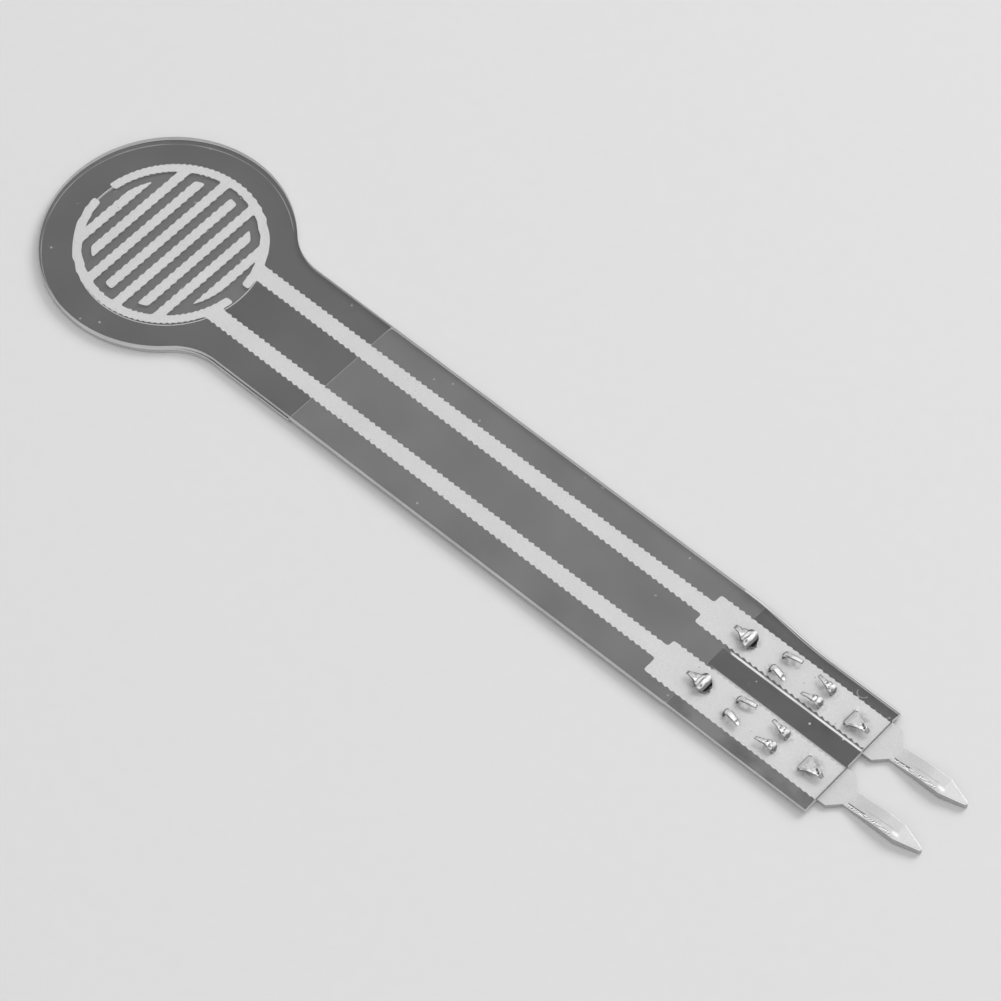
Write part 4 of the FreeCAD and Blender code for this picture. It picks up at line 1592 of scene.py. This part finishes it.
# Terminals
@dataclass
class CrimpTerminal:
    """One stamped terminal: lanced blade, claws and folded pin."""

    side: Side
    rows: ClawRows
    film_top: float
    sheet: float = 0.2
    blade_width: float = 1.7
    blade_overlap: float = 6.6
    shoulder_reach: float = 0.33
    shoulder_length: float = 0.45
    pin_width: float = 0.76
    pin_length: float = 2.32
    point_length: float = 1.03
    point_width: float = 0.14
    point_height: float = 0.3
    lance_gap: float = 0.42

    @property
    def middle(self) -> float:
        """The terminal's middle line across the tail."""
        return PIN_SPACING / 2.0 * self.side.value

    @property
    def neck(self) -> float:
        """Where the blade's shoulder has narrowed to the pin."""
        return self.rows.film_end + self.shoulder_reach + self.shoulder_length

    def lances(self) -> list[np.ndarray]:
        """Outlines the openings that the claws were cut from.

        Returns:
            Tapered openings, each behind its claw's root.
        """
        length = self.rows.outer_offset - self.rows.inner_offset - self.lance_gap
        holes = []
        for claw in self.rows.claws(self.side):
            behind = claw.root_x - claw.way * (0.27 if claw.tear else 0.08)
            far = claw.root_x - claw.way * (0.08 + length)
            half = claw.root_half
            away = claw.middle_y - self.middle
            tip_y = claw.middle_y + np.sign(away) * (half - 0.03) if abs(away) > 0.1 else claw.middle_y
            corners = [[behind, claw.middle_y - half], [far, tip_y - 0.03], [far, tip_y + 0.03]]
            corners.append([behind, claw.middle_y + half])
            holes.append(np.array(corners))
        return holes

    def blade(self) -> Shape:
        """Makes the flat blade with its tapered shoulder.

        Returns:
            The blade's closed surface.
        """
        half_blade, half_pin = self.blade_width / 2.0, self.pin_width / 2.0
        start, neck = self.rows.film_end - self.blade_overlap, self.neck
        shoulder = neck - self.shoulder_length
        upper = np.array([[neck + 0.12, half_pin - 0.06], [neck, half_pin], [shoulder, half_blade],
                          [start + 0.15, half_blade], [start, half_blade - 0.15]])
        outline = np.vstack([upper, (upper * [1.0, -1.0])[::-1]]) + [0.0, self.middle]
        return slab(softened(respaced(outline, 0.02), 2), 0.0, self.sheet, self.lances())

    def pin(self) -> Shape:
        """Makes the folded pin as an upper and a lower surface over one grid.

        The width is even, then narrows in a straight line to the point, where the upper side
        slopes down. Both sides are rounded along their edges. The upper side has the dashed
        groove of the fold, a fainter line beside the middle, a band of hammered dents along the
        near edge and a smooth facet before the point. Its marks paint shade into the groove, the
        line and the dents, and highlights onto the facet and the dents. The underside starts a
        hair above the blade's.

        Returns:
            The pin's closed surface.
        """
        length = self.pin_length + self.point_length
        u = np.linspace(0.0, length, 300)[:, None]
        v = np.linspace(-1.0, 1.0, 72)[None, :]
        to_point = np.clip((u - self.pin_length) / self.point_length, 0.0, 1.0)
        half = self.pin_width / 2.0 + (self.point_width - self.pin_width) / 2.0 * to_point
        half = half * np.sqrt(1.0 - 0.85 * np.clip((u - length + 0.09) / 0.09, 0.0, 1.0) ** 2)
        y = v * half
        height = self.sheet * (1.0 + eased(u / 1.7)) - (2.0 * self.sheet - self.point_height) * to_point
        edge = np.clip((np.abs(y) - half + 0.045) / 0.045, 0.0, 1.0)
        drop = 0.045 * (1.0 - np.sqrt(1.0 - 0.98 * edge ** 2))
        dashes = 0.75 + 0.25 * np.sin(u * 37.0 + self.side.value) * np.sin(u * 13.0)
        groove = np.exp(-((y + 0.22) / 0.022) ** 2) * (1.0 - eased((u - 0.85) / 0.15)) * dashes
        line = np.exp(-((y + 0.12 - 0.02 * u) / 0.012) ** 2)
        line = line * eased((u - 0.7) / 0.2) * (1.0 - eased((u - 1.9) / 0.3))
        band = eased((-0.24 - y) / 0.03) * (1.0 - edge) * eased((u - 0.1) / 0.2)
        band = band * (1.0 - eased((u - 1.9) / 0.4))
        dents = np.sin(u * 31.0 + y * 25.0 + 3.0 * np.sin(u * 7.3))
        dents = dents * np.sin(u * 53.0 - y * 38.0 + 2.0 * np.sin(u * 11.0))
        facet = np.exp(-(((u - 2.28) / 0.16) ** 2 + ((y + 0.16) / 0.08) ** 2) ** 2)
        relief = 0.08 * groove + 0.012 * line + 0.011 * band * (dents + 0.4) + 0.006 * facet
        burr = 0.03 * np.exp(-((u - self.pin_length + 0.02) / 0.03) ** 2 - ((v - 1.0) / 0.2) ** 2)
        if self.side is Side.UPPER:
            y = y + burr
        x = self.neck + u + 0.0 * v
        top = np.stack([x, self.middle + y, np.maximum(height - drop - relief, 0.1)], axis=-1)
        clear = 0.006 * (1.0 - eased((u - 0.1) / 0.1))
        bottom = np.stack([x, self.middle + y, drop + clear + 0.0 * x], axis=-1)
        # Painted shade in the groove, the line and the dark dents; painted highlights on the facet and the
        # bright dents.
        painted_shade = np.clip(1.2 * groove + 0.4 * line + 0.8 * band * eased((dents - 0.1) / 0.4), 0.0, 1.0)
        painted_highlight = np.clip(0.7 * facet + band * eased((-dents - 0.05) / 0.3), 0.0, 1.0)
        return two_sided(top, bottom, painted_shade - painted_highlight * (1.0 - painted_shade), 0.0)

    def build(self, material: bpy.types.Material) -> bpy.types.Object:
        """Builds and dresses the terminal.

        Args:
            material: The tinned finish.

        Returns:
            The new piece.
        """
        node = f"terminal_{self.side.name.lower()}"
        top = node_box(node)[1][2]
        claws = [claw.surface(self.film_top, top) for claw in self.rows.claws(self.side)]
        shape = self.blade().joined(self.pin(), *claws)
        name = f"crimp_terminal_{self.side.name.lower()}"
        return place_piece(name, shape, node, material, 0.0)


# Studio
@dataclass(frozen=True)
class Lamp:
    """A soft square lamp: its place and side are in millimetres, its power in watts."""

    name: str
    place: tuple[float, float, float]
    size: float
    power: float

    def hang(self, target: Vector) -> None:
        """Hangs the lamp so that it looks at a target.

        Args:
            target: The place it looks at, in metres.
        """
        data = bpy.data.lights.new(self.name, "AREA")
        data.size = self.size * MM
        data.energy = self.power
        data.specular_factor = 0.4
        lamp = bpy.data.objects.new(self.name, data)
        bpy.context.collection.objects.link(lamp)
        spot = Vector(self.place) * MM
        aim = (target - spot).to_track_quat("-Z", "Y")
        lamp.matrix_world = Matrix.Translation(spot) @ aim.to_matrix().to_4x4()


@dataclass
class Studio:
    """Floor, lamps, background and camera."""

    azimuth: float = 45.43
    elevation: float = 56.29
    roll: float = -3.15
    distance: float = 208.2
    target: tuple[float, float, float] = (17.59, -0.13, 0.0)
    lens: float = 200.57
    floor_size: float = 4000.0
    floor_height: float = -0.03
    world_level: float = 0.5
    background_level: float = 0.86
    lamps: tuple[Lamp, ...] = (Lamp("key", place=(60.0, 270.0, 260.0), size=200.0, power=0.66),
                               Lamp("fill", place=(180.0, -150.0, 240.0), size=300.0, power=0.2))

    def camera(self) -> None:
        """Places the camera at the photograph's angle: it turns about its target, then rolls."""
        angles = (self.azimuth, self.elevation, self.roll)
        azimuth, elevation, roll = (math.radians(angle) for angle in angles)
        level = math.cos(elevation)
        back = Vector((math.sin(azimuth) * level, -math.cos(azimuth) * level, math.sin(elevation)))
        right = Vector((math.cos(azimuth), math.sin(azimuth), 0.0))
        up = back.cross(right)
        turned_right = right * math.cos(roll) + up * math.sin(roll)
        turned_up = up * math.cos(roll) - right * math.sin(roll)
        data = bpy.data.cameras.new("camera")
        data.lens = self.lens
        data.sensor_width = 36.0
        data.clip_start = 0.01
        data.clip_end = 20.0
        camera = bpy.data.objects.new("camera", data)
        bpy.context.collection.objects.link(camera)
        axes = Matrix((turned_right, turned_up, back)).transposed().to_4x4()
        place = (Vector(self.target) + back * self.distance) * MM
        camera.matrix_world = Matrix.Translation(place) @ axes
        bpy.context.scene.camera = camera

    def floor(self, groups: Groups) -> None:
        """Lays the pale floor under the part.

        Args:
            groups: The shared node groups.
        """
        half, height = self.floor_size / 2.0, self.floor_height
        corners = [(-half, -half, height), (half, -half, height), (half, half, height), (-half, half, height)]
        floor = Shape(np.array(corners), [(0, 1, 2, 3)]).to_object("floor")
        floor.data.materials.append(FloorFinish("pale_floor", level=0.8, roughness=0.8).build(groups))

    def world(self) -> None:
        """Sets an even sky, which is paler where the camera and reflections see it."""
        world = bpy.data.worlds.new("studio")
        world.use_nodes = True
        tree = Tree(world.node_tree)
        rays = tree.add("LightPath").outputs
        seen = Value(tree, rays["Is Camera Ray"]) | rays["Is Glossy Ray"] | rays["Is Transmission Ray"]
        strength = seen.ramp(0.0, 1.0, self.world_level, self.background_level)
        shader = tree.add("Background", None, Color=grey(1.0), Strength=strength)
        tree.add("OutputWorld", None, Surface=shader.outputs[0])
        bpy.context.scene.world = world

    def build(self, groups: Groups) -> None:
        """Builds the whole studio.

        Args:
            groups: The shared node groups.
        """
        self.camera()
        self.floor(groups)
        self.world()
        for lamp in self.lamps:
            lamp.hang(Vector(self.target) * MM)
        bpy.context.scene.view_settings.view_transform = "Standard"


def main() -> None:
    """Builds the sensor piece by piece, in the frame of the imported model."""
    logging.basicConfig(level=logging.INFO)
    film_end, _, film_top = node_box("top_film")[1]
    disc_low, disc_high = node_box("resistive_disc")
    print_x, print_y = (float(value) for value in (disc_low[:2] + disc_high[:2]) / 2.0)
    opening = (print_x + OPENING_SHIFT[0], print_y + OPENING_SHIFT[1])
    opening_radius = (disc_high[0] - disc_low[0]) / 2.0 - OPENING_INSET
    rows = ClawRows(film_end)
    groups = Groups(rows.centre, PIN_SPACING / 2.0)
    lay = Lay(rows, droop_start=film_end - 7.5, blade_edge=2.14, half_width=node_box("tail_cover")[1][1])
    FilmStack(rows, lay, opening, opening_radius, (print_x, print_y)).build(groups)
    silver = SilverFinish("silver_print", level=0.8, roughness=0.55).build(groups)
    tin = TinFinish("tinned_sheet", level=0.61, roughness=0.42).build(groups)
    for side in Side:
        PrintedComb(side, rows, lay, (print_x, print_y)).build(silver)
        CrimpTerminal(side, rows, film_top).build(tin)
    Studio().build(groups)


if __name__ == "__main__":
    main()
